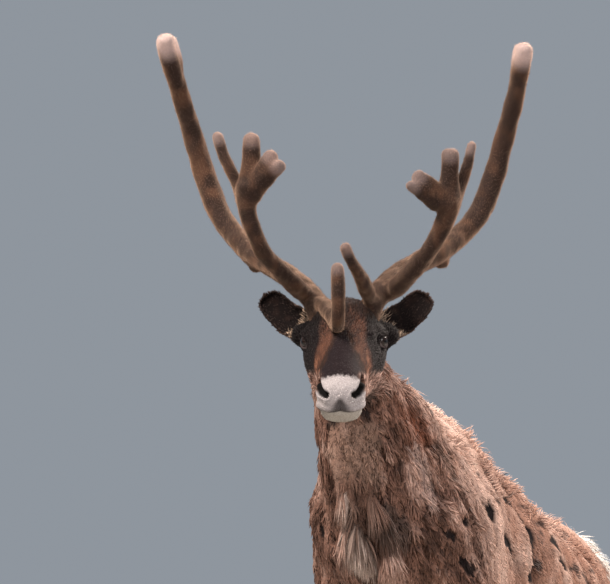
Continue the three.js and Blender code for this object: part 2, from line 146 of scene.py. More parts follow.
def closedRings(grid, tips):
    # quads between rings of one size, and a fan to a tip at each end
    count, sides = grid.shape[:2]
    points = np.concatenate([grid.reshape(-1, 3), np.array(tips)])
    r, k = np.meshgrid(np.arange(count - 1), np.arange(sides), indexing="ij")
    a, b = r * sides + k, r * sides + (k + 1) % sides
    quads = np.stack([a, b, b + sides, a + sides], -1).reshape(-1, 4)
    k = np.arange(sides)
    last = (count - 1) * sides
    first = np.stack([np.full(sides, count * sides), (k + 1) % sides, k], -1)
    final = np.stack([np.full(sides, count * sides + 1), last + k, last + (k + 1) % sides], -1)
    return facedOut(points, [quads, np.concatenate([first, final])])


def facedOut(points, faces):
    # turns every face round if the signed volume is negative
    volume = 0.0
    for group in faces:
        a, b, c = points[group[:, 0]], points[group[:, 1]], points[group[:, 2]]
        volume += np.einsum("ij,ij->", a, np.cross(b, c))
        if group.shape[1] == 4:
            volume += np.einsum("ij,ij->", a, np.cross(c, points[group[:, 3]]))
    return points, [group if volume > 0 else group[:, ::-1] for group in faces]


def merged(bodies):
    # several bodies as the points and faces of one
    points, groups, start = [], {}, 0
    for places, faces in bodies:
        points.append(places)
        for group in faces:
            groups.setdefault(group.shape[1], []).append(group + start)
        start += len(places)
    return np.concatenate(points), [np.concatenate(g) for g in groups.values()]


def newPiece(name, points, faces, smooth=True):
    # mesh object from arrays; points are millimetres
    mesh = bpy.data.meshes.new(name)
    mesh.vertices.add(len(points))
    mesh.vertices.foreach_set("co", (np.asarray(points) * millimetre).astype(np.float32).ravel())
    corners = np.concatenate([group.ravel() for group in faces]).astype(np.int32)
    sizes = np.concatenate([np.full(len(group), group.shape[1]) for group in faces])
    mesh.loops.add(len(corners))
    mesh.loops.foreach_set("vertex_index", corners)
    mesh.polygons.add(len(sizes))
    mesh.polygons.foreach_set("loop_start", (np.cumsum(sizes) - sizes).astype(np.int32))
    mesh.update(calc_edges=True)
    mesh.polygons.foreach_set("use_smooth", np.full(len(sizes), smooth))
    piece = bpy.data.objects.new(name, mesh)
    bpy.context.scene.collection.objects.link(piece)
    return piece


def pointsOf(piece):
    flat = np.empty(len(piece.data.vertices) * 3, np.float32)
    piece.data.vertices.foreach_get("co", flat)
    return flat.reshape(-1, 3).astype(float) / millimetre


def movePoints(piece, points):
    piece.data.vertices.foreach_set("co", (points * millimetre).astype(np.float32).ravel())
    piece.data.update()


def normalsOf(piece):
    flat = np.empty(len(piece.data.vertices) * 3, np.float32)
    piece.data.vertex_normals.foreach_get("vector", flat)
    return flat.reshape(-1, 3).astype(float)


def edgesOf(piece):
    flat = np.empty(len(piece.data.edges) * 2, np.int32)
    piece.data.edges.foreach_get("vertices", flat)
    return flat.reshape(-1, 2)


def relaxed(values, edges, times, strength=0.5):
    # moves each value towards the mean of its neighbours
    count = np.bincount(edges.ravel(), minlength=len(values))[:, None]
    for _ in range(times):
        total = np.stack([
            np.bincount(edges[:, 0], values[edges[:, 1], k], len(values))
            + np.bincount(edges[:, 1], values[edges[:, 0], k], len(values))
            for k in range(values.shape[1])
        ], -1)
        values = values + strength * (total / np.maximum(count, 1) - values)
    return values


def remeshed(piece, voxel):
    # one closed surface round overlapping bodies
    change = piece.modifiers.new("one surface", "REMESH")
    change.mode = "VOXEL"
    change.voxel_size = voxel * millimetre
    change.use_smooth_shade = True
    graph = bpy.context.evaluated_depsgraph_get()
    mesh = bpy.data.meshes.new_from_object(piece.evaluated_get(graph))
    piece.modifiers.clear()
    old = piece.data
    piece.data = mesh
    bpy.data.meshes.remove(old)
    mesh.name = piece.name


def refined(piece, chosen):
    # splits the faces whose centres are chosen into four
    form = bmesh.new()
    form.from_mesh(piece.data)
    centres = np.array([face.calc_center_median() for face in form.faces]) / millimetre
    picked = chosen(centres)
    edges = {edge for face, take in zip(form.faces, picked) if take for edge in face.edges}
    bmesh.ops.subdivide_edges(form, edges=list(edges), cuts=1, use_grid_fill=True)
    form.to_mesh(piece.data)
    form.free()
    piece.data.update()


def paint(piece, colours):
    # one linear colour for each vertex, which the materials read
    layer = piece.data.color_attributes.new("tint", "FLOAT_COLOR", "POINT")
    full = np.ones((len(colours), 4), np.float32)
    full[:, :3] = colours
    layer.data.foreach_set("color", full.ravel())


# Trunk: y from the withers, top line, bottom line, half width, ridge, height of the widest place
trunk = [
    (-312, 965, 836, 66, 0, 900),
    (-276, 1056, 784, 122, 0.06, 920),
    (-220, 1140, 738, 166, 0.1, 955),
    (-140, 1228, 692, 190, 0.14, 968),
    (-50, 1244, 650, 198, 0.26, 963),
    (60, 1218, 622, 203, 0.42, 923),
    (200, 1164, 618, 211, 0.42, 883),
    (350, 1114, 622, 213, 0.38, 853),
    (500, 1072, 636, 202, 0.34, 843),
    (640, 1043, 664, 178, 0.34, 853),
    (760, 1036, 694, 146, 0.36, 863),
    (860, 1012, 722, 126, 0.3, 868),
    (940, 978, 762, 102, 0.16, 868),
    (985, 934, 806, 68, 0, 870),
]
trunkRows = [(0, y, z, wide, top - z, z - low, ridge, 0.12) for y, top, low, wide, ridge, z in trunk]
shoulder = [
    (50, -16, 1140, 36, 54, 56),
    (112, -58, 1034, 80, 92, 98),
    (128, -92, 900, 74, 104, 104),
    (125, -78, 780, 64, 94, 92),
    (118, -10, 680, 44, 62, 54),
]
haunch = [
    (42, 796, 968, 40, 80, 84),
    (68, 810, 890, 60, 128, 122),
    (88, 810, 800, 65, 150, 136),
    (100, 814, 720, 56, 146, 112),
    (107, 836, 650, 44, 116, 78),
]
foreLeg = [
    (116, -6, 700, 46, 68, 62),
    (117, 4, 610, 40, 52, 48),
    (116, 0, 520, 34, 38, 38),
    (116, -6, 430, 29, 31, 32),
    (116, -10, 375, 31, 33, 36),
    (116, -6, 320, 25, 28, 27),
    (116, -4, 230, 22, 25, 24),
    (117, -6, 145, 28, 33, 28),
    (118, -20, 104, 29, 30, 30),
    (118, -34, 66, 38, 36, 38),
]
hindLeg = [
    (107, 834, 690, 48, 124, 88),
    (109, 864, 605, 40, 84, 62),
    (108, 900, 535, 33, 56, 44),
    (106, 930, 474, 31, 44, 44),
    (106, 926, 410, 26, 33, 34),
    (107, 908, 290, 23, 28, 27),
    (110, 898, 150, 28, 34, 29),
    (111, 882, 106, 29, 31, 31),
    (112, 866, 66, 38, 36, 38),
]
# how far back each foot is set, forwards where it is negative
foreStep = {"right": 34, "left": -30}
hindStep = {"right": -26, "left": 40}
neck = [
    (-6, -428, 1318, 76, 76, 92, 0.1, 0.2),
    (-10, -385, 1280, 90, 86, 112, 0.12, 0.28),
    (-8, -325, 1217, 116, 114, 154, 0.14, 0.34),
    (-4, -255, 1142, 135, 164, 202, 0.1, 0.36),
    (-2, -180, 1068, 156, 200, 232, 0.1, 0.34),
    (0, -100, 1000, 168, 226, 240, 0.2, 0.3),
    (0, -20, 945, 172, 240, 226, 0.34, 0.2),
]
# Head in the face frame: y back from the eyes, top, bottom, half width, ridge, keel
skull = [
    (-247, 2, -60, 36, 0.06, 0.14),
    (-236, 17, -73, 44, 0.04, 0.16),
    (-216, 25, -84, 47, 0.04, 0.2),
    (-188, 30, -91, 48, 0.08, 0.24),
    (-150, 36, -97, 50, 0.18, 0.25),
    (-105, 43, -107, 56, 0.24, 0.3),
    (-60, 51, -118, 69, 0.22, 0.34),
    (-20, 59, -130, 82, 0.16, 0.36),
    (20, 66, -138, 87, 0.14, 0.36),
    (60, 68, -134, 86, 0.16, 0.34),
    (98, 60, -110, 78, 0.2, 0.3),
    (124, 38, -80, 58, 0.2, 0.2),
]
skullRows = [(0, y, (top + low) / 2, wide, (top - low) / 2, (top - low) / 2, ridge, keel)
             for y, top, low, wide, ridge, keel in skull]
eye = {"radius": 18.5, "out": 67.5, "back": 2, "up": -3}
eyeRim = {"out": 63, "back": 3, "up": 1, "radius": 27.5}
earRoot = {"out": 86, "back": 60, "up": -18, "radius": 28}
gaze = np.array([0.86, -0.49, 0.1])  # the way the left eye looks: out, back, up


def stepped(rows, step):
    # the foot moves by the step while the top stays in the body
    top = rows[0][2]
    return [(x, y + step * min(1, (top - z) / (top * 0.6)), z, *rest) for x, y, z, *rest in rows]


def mirrored(rows, side):
    # rows are drawn for the left side
    return [(x * side, *rest) for x, *rest in rows]


def ballRows(centre, radius):
    # two rows so close together that their domes make a ball
    x, y, z = centre
    step = radius * 0.02
    return [(x, y + move, z, radius, radius, radius) for move in (-step, step)]


skinLook = {
    "voxel": 7.6,  # mm
    "smoothing": 5,
    "trunkCoat": 11.0,  # mm of coat over the skin
    "neckCoat": 15.0,
    "legCoat": 4.0,
    "faceCoat": 2.2,
}

bodies = [ovalBody(trunkRows, 60, 72, (26, 22)), ovalBody(neck, 40, 64, (24, 30))]
for side, name in rightLeft:
    bodies.append(ovalBody(mirrored(shoulder, side), 30, 40, (30, 20)))
    bodies.append(ovalBody(mirrored(haunch, side), 30, 40, (30, 20)))
    bodies.append(ovalBody(mirrored(stepped(foreLeg, foreStep[name]), side), 60, 32, (30, 4)))
    bodies.append(ovalBody(mirrored(stepped(hindLeg, hindStep[name]), side), 60, 32, (30, 4)))
bodies = [(points + withersAt, faces) for points, faces in bodies]
heads = [ovalBody(skullRows, 90, 72, (9, 20), box=0.84)]
for swelling in (eyeRim, earRoot):
    for side in (-1, 1):
        centre = (swelling["out"] * side, swelling["back"], swelling["up"])
        heads.append(ovalBody(ballRows(centre, swelling["radius"]), 2, 32, (swelling["radius"],) * 2))
bodies += [(fromFace(points), faces) for points, faces in heads]
skin = newPiece("skin", *merged(bodies))
remeshed(skin, skinLook["voxel"])


def onHead(points):
    at = toFace(points)
    return (at[:, 1] < 95) & (at[:, 2] > -150) & (at[:, 2] < 90) & (np.abs(at[:, 0]) < 110)


def onMuzzleOrLids(points):
    at = toFace(points)
    lids = (np.abs(np.abs(at[:, 0]) - 72) < 34) & (np.abs(at[:, 1]) < 42) & (np.abs(at[:, 2]) < 36)
    return onHead(points) & ((at[:, 1] < -150) | lids)


refined(skin, onHead)
refined(skin, onMuzzleOrLids)
edges = edgesOf(skin)
points = relaxed(pointsOf(skin), edges, skinLook["smoothing"])
print("skin surface", len(points), "points")


def headness(points):
    # 1 on the head, 0 on the neck, with the change just behind the jaw and the poll
    at = toFace(points)
    return (1 - ramp(at[:, 1] - 0.55 * at[:, 2], 62, 120)) * (1 - ramp(-at[:, 2], 118, 148))


def neckness(points):
    # 1 on the neck, 0 from the shoulders back
    at = points - withersAt
    return (1 - ramp(at[:, 1] + 0.35 * (at[:, 2] - 1000), -215, -120)) * ramp(at[:, 2], 760, 860)


def legness(points):
    # 1 on the legs, 0 on the trunk
    at = points - withersAt
    rear = ramp(at[:, 1], 350, 450)
    return 1 - ramp(at[:, 2], 560 + 60 * rear, 680 + 60 * rear)


def coatDepth(points):
    head, leg, throat = headness(points), legness(points), neckness(points)
    depth = skinLook["trunkCoat"] + (skinLook["neckCoat"] - skinLook["trunkCoat"]) * throat
    depth = depth + (skinLook["legCoat"] - depth) * leg
    at = toFace(points)
    cheek = ramp(at[:, 1], -60, 60) * 3.0
    return depth + (skinLook["faceCoat"] + cheek - depth) * head


movePoints(skin, points)
points = points - normalsOf(skin) * coatDepth(points)[:, None]
points = relaxed(points, edges, 2)
movePoints(skin, points)

# Relief of the head, in the face frame: each is a distance field pushed along the surface normal
faceLook = {
    "mouthDepth": 5.0, "lipHigh": 1.8, "nostrilDepth": 11.0, "nostrilRim": 2.2, "lowerLipBack": 3.8,
    "philtrum": 2.0, "temple": 3.0, "cheek": 3.0, "tear": 2.2, "brow": 4.0, "noseBone": 1.6,
    "wrinkle": 0.45, "grain": 0.6, "upperLid": 4.4, "lowerLid": 3.2, "eyeLong": 16.5, "eyeHigh": 11.0,
}
# swellings of the nostril's wing, the upper lip and the chin: place on one half, squash, width, height
muzzleSwellings = [
    ((42, -206, 4), (1, 1.2, 1), 22, 10),
    ((42, -226, -34), (1, 1, 1), 14, 2),
    ((34, -222, -64), (1, 1, 1), 18, 6),
]
mouthLine = [(-300, -42), (-252, -41), (-240, -42), (-205, -47), (-170, -49), (-140, -45), (-118, -40)]
nostrilCurve = [(29, 107), (36, 103), (42, 94), (45.5, 81), (47, 67), (46, 57)]  # out from the middle, down


def distanceToLine(points, line):
    # least distance to a polyline, and how far along it that is, 0 to 1
    line = np.asarray(line, float)
    best = np.full(len(points), 1e9)
    along = np.zeros(len(points))
    for i, (a, b) in enumerate(zip(line[:-1], line[1:])):
        t = np.clip((points - a) @ (b - a) / ((b - a) @ (b - a)), 0, 1)
        d = np.linalg.norm(points - a - t[:, None] * (b - a), axis=1)
        along = np.where(d < best, (i + t) / (len(line) - 1), along)
        best = np.minimum(best, d)
    return best, along


def bump(distance, width):
    # 1 where the distance is 0, falling off as exp(-(distance / width) squared)
    return np.exp(-(distance / width) ** 2)


def folded(face):
    # both halves of the face on one side
    return np.stack([np.abs(face[:, 0]), face[:, 1], face[:, 2]], -1)


def mouthHeight(face):
    # height of the slit between the lips, which rises in the middle
    x, y = np.abs(face[:, 0]), face[:, 1]
    line = np.interp(y, [p[0] for p in mouthLine], [p[1] for p in mouthLine])
    return line + 3.5 * bump(x, 9) - 1.5 * bump(x - 26, 12)


def lowered(face):
    # height below the eyes at right angles to the line of sight along the photograph's view of the face
    return -0.415 * face[:, 1] - 0.91 * face[:, 2]


def nostrilGap(face):
    # distance to the nostril's comma in that plane, on the front of the muzzle, and how far along it
    flat = np.stack([np.abs(face[:, 0]), lowered(face)], -1)
    gap, along = distanceToLine(flat, nostrilCurve)
    return np.where(face[:, 1] < -165, gap, 99.0), along


face = toFace(points)
normals = normalsOf(skin)
half = folded(face)
mouthFade = (1 - ramp(face[:, 1], -150, -118)) * (face[:, 1] < 0)
overMouth = face[:, 2] - mouthHeight(face)
mouth = bump(overMouth, 2.4) * mouthFade
lips = (1.2 * bump(overMouth - 8, 6) + 0.5 * bump(overMouth + 9, 6)) * mouthFade
lowerJaw = (1 - ramp(overMouth, -5, 0)) * (1 - ramp(face[:, 1], -190, -130))
flare = np.zeros(len(points))
for place, squash, wide, high in muzzleSwellings:
    flare += high * bump(np.linalg.norm((half - place) / squash, axis=1), wide)
points = points + normals * flare[:, None]
movePoints(skin, points)
normals = normalsOf(skin)
face = toFace(points)
calm = points.copy()  # the skin before its fine relief; the markings are placed on it
nostril, nostrilAt = nostrilGap(face)
nostrilPit = bump(nostril, 6.2 - 1.6 * nostrilAt)
nostrilRim = bump(nostril - 9, 3.5)
philtrum = bump(face[:, 0], 3.0) * (face[:, 1] < -228)
philtrum = philtrum * ramp(overMouth, 0, 6) * (1 - ramp(face[:, 2], -16, -6))
temple = bump(np.linalg.norm((half - [76, 42, 30]) / [1, 1.3, 1], axis=1), 18)
cheek = bump(face[:, 2] + 60 + 0.25 * (face[:, 1] + 40), 16)
cheek = cheek * ramp(face[:, 1], -150, -80) * (1 - ramp(face[:, 1], -30, 20))
tear, _ = distanceToLine(half, [(74, -22, -14), (66, -50, -24), (60, -78, -32)])
brow, _ = distanceToLine(half, [(56, -30, 26), (68, -10, 27), (76, 14, 25), (80, 34, 16)])
noseBone, _ = distanceToLine(half, [(26, -60, 44), (28, -120, 38), (30, -170, 30)])
push = (
    -faceLook["mouthDepth"] * mouth + faceLook["lipHigh"] * lips
    - faceLook["nostrilDepth"] * nostrilPit + faceLook["nostrilRim"] * nostrilRim
    - faceLook["lowerLipBack"] * lowerJaw - faceLook["philtrum"] * philtrum
    - faceLook["temple"] * temple - faceLook["cheek"] * cheek - faceLook["tear"] * bump(tear, 7)
    + faceLook["brow"] * bump(brow, 10) + faceLook["noseBone"] * bump(noseBone, 14)
)
wrinkles = wobble(face, 6.0, 3) * ramp(-face[:, 1], 150, 190)
push += faceLook["wrinkle"] * wrinkles + faceLook["grain"] * wobble(face, 18, 4)
points = points + normals * (push * headness(points))[:, None]


def eyeAxes(side):
    # out of the eye, along the opening between the lids, and across it
    out = unit(np.array([gaze[0] * side, gaze[1], gaze[2]]))
    long = unit(np.cross(out, [0, 0.25 * side, 1.0]))
    high = np.cross(long, out)
    return out, long, high if high[2] > 0 else -high


def eyeOpening(face, side):
    # distance from the middle of the opening as a share of its almond, height over it, and distance out
    away = face - [eye["out"] * side, eye["back"], eye["up"]]
    out, long, high = eyeAxes(side)
    along, over = away @ long, away @ high
    droop = np.where(over > 0, 1.0, 0.8)
    almond = np.sqrt((along / faceLook["eyeLong"]) ** 2 + (over / (faceLook["eyeHigh"] * droop)) ** 2 + 1e-9)
    return almond, over, away @ out


# The lids: outside the almond the skin is kept clear of the eyeball, inside it is sunk behind it
face = toFace(points)
for side in (-1, 1):
    centre = np.array([eye["out"] * side, eye["back"], eye["up"]])
    away = face - centre
    reach = np.linalg.norm(away, axis=1)
    almond, over, ahead = eyeOpening(face, side)
    near = (reach < 48) & (ahead > -6)
    upper = ramp(over, -4, 5)
    thick = faceLook["lowerLid"] + (faceLook["upperLid"] - faceLook["lowerLid"]) * upper
    lidReach = eye["radius"] + thick + (1.0 + 1.6 * upper) * bump(almond - 1.3, 0.28)
    opened = np.minimum(reach, eye["radius"] - 5.0)
    shut = np.maximum(reach, lidReach)
    want = opened + (shut - opened) * ramp(almond, 0.92, 1.06)
    crease = -2.6 * bump(almond - 1.9, 0.17) * upper - 1.4 * bump(almond - 1.75, 0.15) * (1 - upper)
    moved = centre + away / reach[:, None] * (want + crease * (reach < 42))[:, None]
    face = np.where(near[:, None], moved, face)
points = np.where(headness(calm)[:, None] > 0, fromFace(face), points)
movePoints(skin, points)
print("head relief done,", len(skin.data.polygons), "faces")


def coatFold(body):
    # long soft folds of the matted coat that run down the flank, -1 in a furrow to 1 on a crest
    x, y, z = body.T
    waved = y + 0.3 * z + 16 * wobble(body, 80, 9)
    fold = wobble(np.stack([0.4 * x, waved, 0.3 * z], -1), 44, 8)
    return fold - 0.8 * bump(fold + 0.1, 0.12)


def alongNeck(body):
    # coordinates across and along the hang of the neck's hair, bent by slow noise so that the locks wave
    x, y, z = body.T
    bend = 12 * wobble(body, 60, 61)
    return np.stack([x + bend, y * 0.87 + z * 0.5 + bend, -y * 0.5 + z * 0.87], -1)


def lockHeight(body):
    # matted locks: rounded ropes along the hair's hang, parted by narrow furrows
    wide = wobble(alongNeck(body) * [1, 1, 0.24], 24, 62)
    narrow = wobble(alongNeck(body) * [1, 1, 0.3] + 50, 13, 63)
    furrow = 1.25 * bump(wide, 0.1) + 0.6 * bump(narrow, 0.1)
    return 0.6 * wide + 0.3 * narrow - furrow


# Places where the old coat is shed and the dark hair under it shows: a line, its half width and side
shedLines = [
    ([(171, 33, 1045), (177, 102, 1014), (190, 153, 977)], 2.5),
    ([(190, 153, 977), (199, 129, 926), (200, 112, 874)], 5.0),
    ([(187, -108, 1022), (188, -96, 1000)], 3.5),
    ([(169, -196, 990), (170, -190, 980)], 3.0),
    ([(150, -238, 956), (158, -226, 946)], 9.0),
    ([(160, -182, 906), (168, -164, 888)], 8.0),
    ([(186, -22, 956), (194, 10, 944), (200, 26, 926)], 9.0),
    ([(78, 655, 1002), (88, 672, 990)], 9.0),
    ([(180, 310, 966), (184, 326, 948)], 8.0),
    ([(203, 312, 926), (204, 328, 908)], 8.0),
    ([(-112, -306, 1000), (-118, -286, 960)], 9.0),
    ([(-150, -262, 1034), (-156, -250, 990)], 12.0),
    ([(-158, -246, 930), (-160, -236, 900)], 8.0),
    ([(-170, 40, 1050), (-184, 110, 1000), (-196, 150, 950)], 8.0),
    ([(-196, 240, 930), (-200, 270, 900)], 12.0),
    ([(-180, 420, 960), (-190, 450, 920)], 10.0),
    ([(-150, 600, 980), (-160, 620, 950)], 9.0),
    ([(196, 470, 900), (198, 500, 870)], 9.0),
    ([(60, 250, 1110), (70, 300, 1090)], 7.0),
    ([(-60, 380, 1085), (-70, 410, 1070)], 8.0),
]


def beside(body, line, under=10.0):
    # distance from a line that runs over the coat, for points that may lie under it by the coat's depth
    gap, _ = distanceToLine(body, line)
    return np.sqrt(np.maximum(gap ** 2 - under ** 2, 0))


def shedAmount(points):
    # 1 where the old coat has gone, with ragged edges
    body = points - withersAt
    ragged = 7 * wobble(body, 19, 23) + 4 * wobble(body * [1, 0.35, 1], 8, 26) + 2.5 * wobble(body, 5, 28)
    amount = np.zeros(len(points))
    for line, width in shedLines:
        gap = beside(body, line) + ragged
        amount = np.maximum(amount, 1 - ramp(gap, width * 0.85, width * 1.1 + 2))
    return amount


# Edges where the loosened winter coat stands up over the summer coat, from the withers' floor point
coatEdges = [
    ([(107, -298, 1020), (128, -278, 990), (144, -255, 963)], 9.0),
    ([(101, -306, 954), (112, -262, 910), (131, -199, 870)], 9.0),
    ([(58, -411, 1160), (51, -394, 1079), (45, -377, 1026), (60, -345, 985)], 10.0),
    ([(-50, -430, 1165), (-40, -420, 1100), (-48, -385, 1030)], 8.0),
    ([(150, -200, 1050), (165, -160, 960), (170, -120, 860)], 7.0),
    ([(-150, -190, 1060), (-160, -170, 960), (-165, -130, 850)], 8.0),
    ([(196, 60, 1020), (206, 120, 900), (190, 160, 760)], 5.0),
    ([(-196, 90, 1010), (-206, 150, 890), (-190, 190, 760)], 5.0),
]
normals = normalsOf(skin)
body = points - withersAt
reliefLook = {"swell": 3.4, "fold": 5.0, "ripple": 2.0, "grain": 1.0, "lock": 6.5, "shed": 4.5, "rib": 0.8}
matted = {"at": (-150, -235, 1000), "high": 12, "wide": 62}  # a thick mat of old coat on the right shoulder
relief = reliefLook["swell"] * wobble(body, 90, 5) + reliefLook["fold"] * coatFold(body)
relief += reliefLook["ripple"] * wobble(body * [1, 1.6, 1], 38, 6)
relief += reliefLook["grain"] * wobble(body, 17, 7)
relief += reliefLook["lock"] * lockHeight(body) * neckness(points)
for line, height in coatEdges:
    # a crest on both sides of the line, and a furrow along it
    gap = beside(body, line)
    relief += height * bump(gap - 9, 9) - 0.6 * height * bump(gap, 5)
relief += matted["high"] * bump(np.linalg.norm((body - matted["at"]) / [1, 1, 1.5], axis=1), matted["wide"])
relief -= reliefLook["shed"] * shedAmount(points)
ribs = np.sin(body[:, 1] / 13.0) * bump(body[:, 1] - 330, 150) * bump(body[:, 2] - 880, 110)
relief = (relief + reliefLook["rib"] * ribs) * (1 - legness(points)) * (1 - headness(calm))
points = points + normals * relief[:, None]
movePoints(skin, points)

# The coat's colours in moult: pinkish brown, nearly black where it is shed, and a white rump and muzzle
paintBox = {
    "trunk": "#99715f", "trunkPaleAndLit": "#d6b5a5", "trunkDarkAndShade": "#5a3d32", "shed": "#1b1516",
    "chestAndShade": "#6d4a3a", "belly": "#a98f82", "rump": "#e6ddd4", "leg": "#42312a", "legPale": "#8d7869",
    "neck": "#876354", "neckDarkAndShade": "#33221c", "neckPaleAndLit": "#d0ac9c",
    "mane": "#cdb6a9", "maneDark": "#4a362d",
    "throat": "#9a7c6c", "crest": "#7a4631", "smooth": "#b4968a", "bare": "#55453e",
    "bridge": "#1f1719", "eyeRing": "#151011", "forehead": "#31221c", "strip": "#5a3b2e",
    "stripPale": "#8f6049", "muzzle": "#a79d9b", "philtrum": "#2c2727", "nostril": "#0d0a0a",
    "chin": "#a89f95", "chinLow": "#8a7f70", "cheek": "#6f5044", "lid": "#5f5250",
    "earOut": "#2a1f1c", "earRim": "#44322a", "earIn": "#0f0b0b", "earTuft": "#a08874",
}
tone = {key: linear(code) for key, code in paintBox.items()}


def mixed(rows, other, amount):
    # rows of colours or directions blended towards another by an amount for each row
    return rows + (other - rows) * np.clip(amount, 0, 1)[:, None]


def plain(points, value):
    # the same colour or direction for every point
    return np.tile(value, (len(points), 1))


def faceColour(points):
    # markings by place on the face: across, back, up, and below the eyes as the photograph's view sees it
    face = toFace(points)
    across, back, height = np.abs(face[:, 0]), face[:, 1], face[:, 2]
    strands = wobble(face * [0.3, 0.07, 0.3], 1.0, 31) + 0.6 * wobble(face * [0.14, 0.04, 0.14], 1.0, 32)
    below = lowered(face) + 4 * strands
    colour = plain(points, tone["forehead"])
    colour = mixed(colour, tone["strip"], 0.5 * ramp(strands, 0.1, 0.9))
    colour = mixed(colour, tone["bridge"], 0.6 * ramp(-strands, 0.1, 0.9))
    lowSide = ramp(below, 60, 78)
    hairSide = plain(points, tone["cheek"])
    hairSide = mixed(hairSide, tone["neckPaleAndLit"], 0.6 * ramp(strands, -0.1, 0.7))
    hairSide = mixed(hairSide, tone["neckDarkAndShade"], 0.8 * ramp(-strands, 0.1, 0.8))
    wedge = np.interp(below, [-40, -13, 10, 25, 39, 54, 68], [0, 7, 16, 24, 30, 38, 42])
    stripMid = np.interp(below, [-50, -30, 0, 25, 39, 54, 70], [28, 32, 33, 43, 48, 52, 52])
    stripWide = np.interp(below, [-50, -30, 0, 25, 54, 70], [14, 14, 13, 12, 7, 4])
    strip = 1 - ramp(np.abs(across - stripMid + 3 * strands), stripWide * 0.6, stripWide * 1.25)
    patch = ramp(across, stripMid + stripWide * 0.2, stripMid + stripWide * 0.9) * ramp(below, -58, -34)
    colour = mixed(colour, tone["eyeRing"], 0.96 * patch)
    colour = mixed(colour, tone["strip"], strip * (0.8 + 0.5 * strands) * ramp(below, -60, -20))
    colour = mixed(colour, tone["stripPale"], strip * ramp(strands, 0.1, 0.9) * ramp(below, 15, 55))
    onWedge = 1 - ramp(across + 2 * strands, wedge * 0.85, wedge * 1.12 + 2)
    colour = mixed(colour, tone["bridge"], 0.97 * onWedge * ramp(below, -30, 0))
    onCheek = lowSide * ramp(across, 30, 46) + ramp(back, -30, 60) * ramp(below, 30, 60)
    colour = mixed(colour, hairSide, onCheek)
    colour = mixed(colour, tone["eyeRing"], 0.7 * ramp(height, 50, 66) * ramp(across, 20, 40))
    edge = 2.5 * wobble(face * [1, 0.4, 0.4], 4, 33)
    edge = edge + 1.6 * wobble(face * [1, 0.4, 0.4], 1.6, 34)
    edge = edge - 11 * (across / 40) ** 2 * (lowered(face) < 90)
    white = ramp(lowered(face) + edge, 64, 72) * ramp(-back + 2 * edge, 176, 196)
    wing = across - np.interp(lowered(face), [57, 81, 94, 104], [46, 45, 41, 36])
    white = white * (1 - ramp(wing, 2, 6) * (1 - ramp(lowered(face), 96, 104)))
    colour = mixed(colour, tone["muzzle"], white)
    overMouth = height - mouthHeight(face)
    lower = 1 - ramp(overMouth, -3, 0)
    colour = mixed(colour, tone["chin"], white * lower)
    colour = mixed(colour, tone["chinLow"], white * lower * ramp(-height, 62, 84) * 0.9)
    underJaw = ramp(-height, 80, 96) * ramp(back, -215, -180) * bump(across - 36, 24)
    colour = mixed(colour, tone["bare"], 0.9 * underJaw)
    wedgeLip = 3 + 17 * ramp(-height, 4, 38)
    lip = (1 - ramp(across, wedgeLip * 0.4, wedgeLip * 1.5)) * ramp(-height, 6, 16) * ramp(overMouth, -2, 2)
    colour = mixed(colour, tone["philtrum"], 0.85 * lip * (back < -222))
    line = bump(overMouth, 2.0) * (1 - ramp(back, -150, -118)) * (back < 0)
    colour = mixed(colour, tone["nostril"], 0.9 * line)
    for side in (-1, 1):
        almond, over, ahead = eyeOpening(face, side)
        lowerLid = bump(almond - 1.14, 0.12) * (ahead > 0) * ramp(-over, -6, 2)
        colour = mixed(colour, tone["lid"], 0.75 * lowerLid)
    pit, pitAt = nostrilGap(face)
    return mixed(colour, tone["nostril"], 1 - ramp(pit, 6.0 - 1.2 * pitAt, 9.2 - 2.0 * pitAt))


maneBands = [
    [(-32, -402, 1026), (-28, -388, 990), (-16, -368, 955), (6, -350, 920), (32, -340, 892)],
    [(34, -400, 1024), (46, -376, 988), (54, -354, 950), (54, -342, 915), (48, -338, 892)],
]
darkUnderJaw = [
    [(-34, -436, 1190), (-30, -430, 1184)],
    [(40, -430, 1196), (46, -424, 1184)],
]


def nearestOf(body, lines):
    # least distance to any of the lines
    return np.min([distanceToLine(body, line)[0] for line in lines], axis=0)


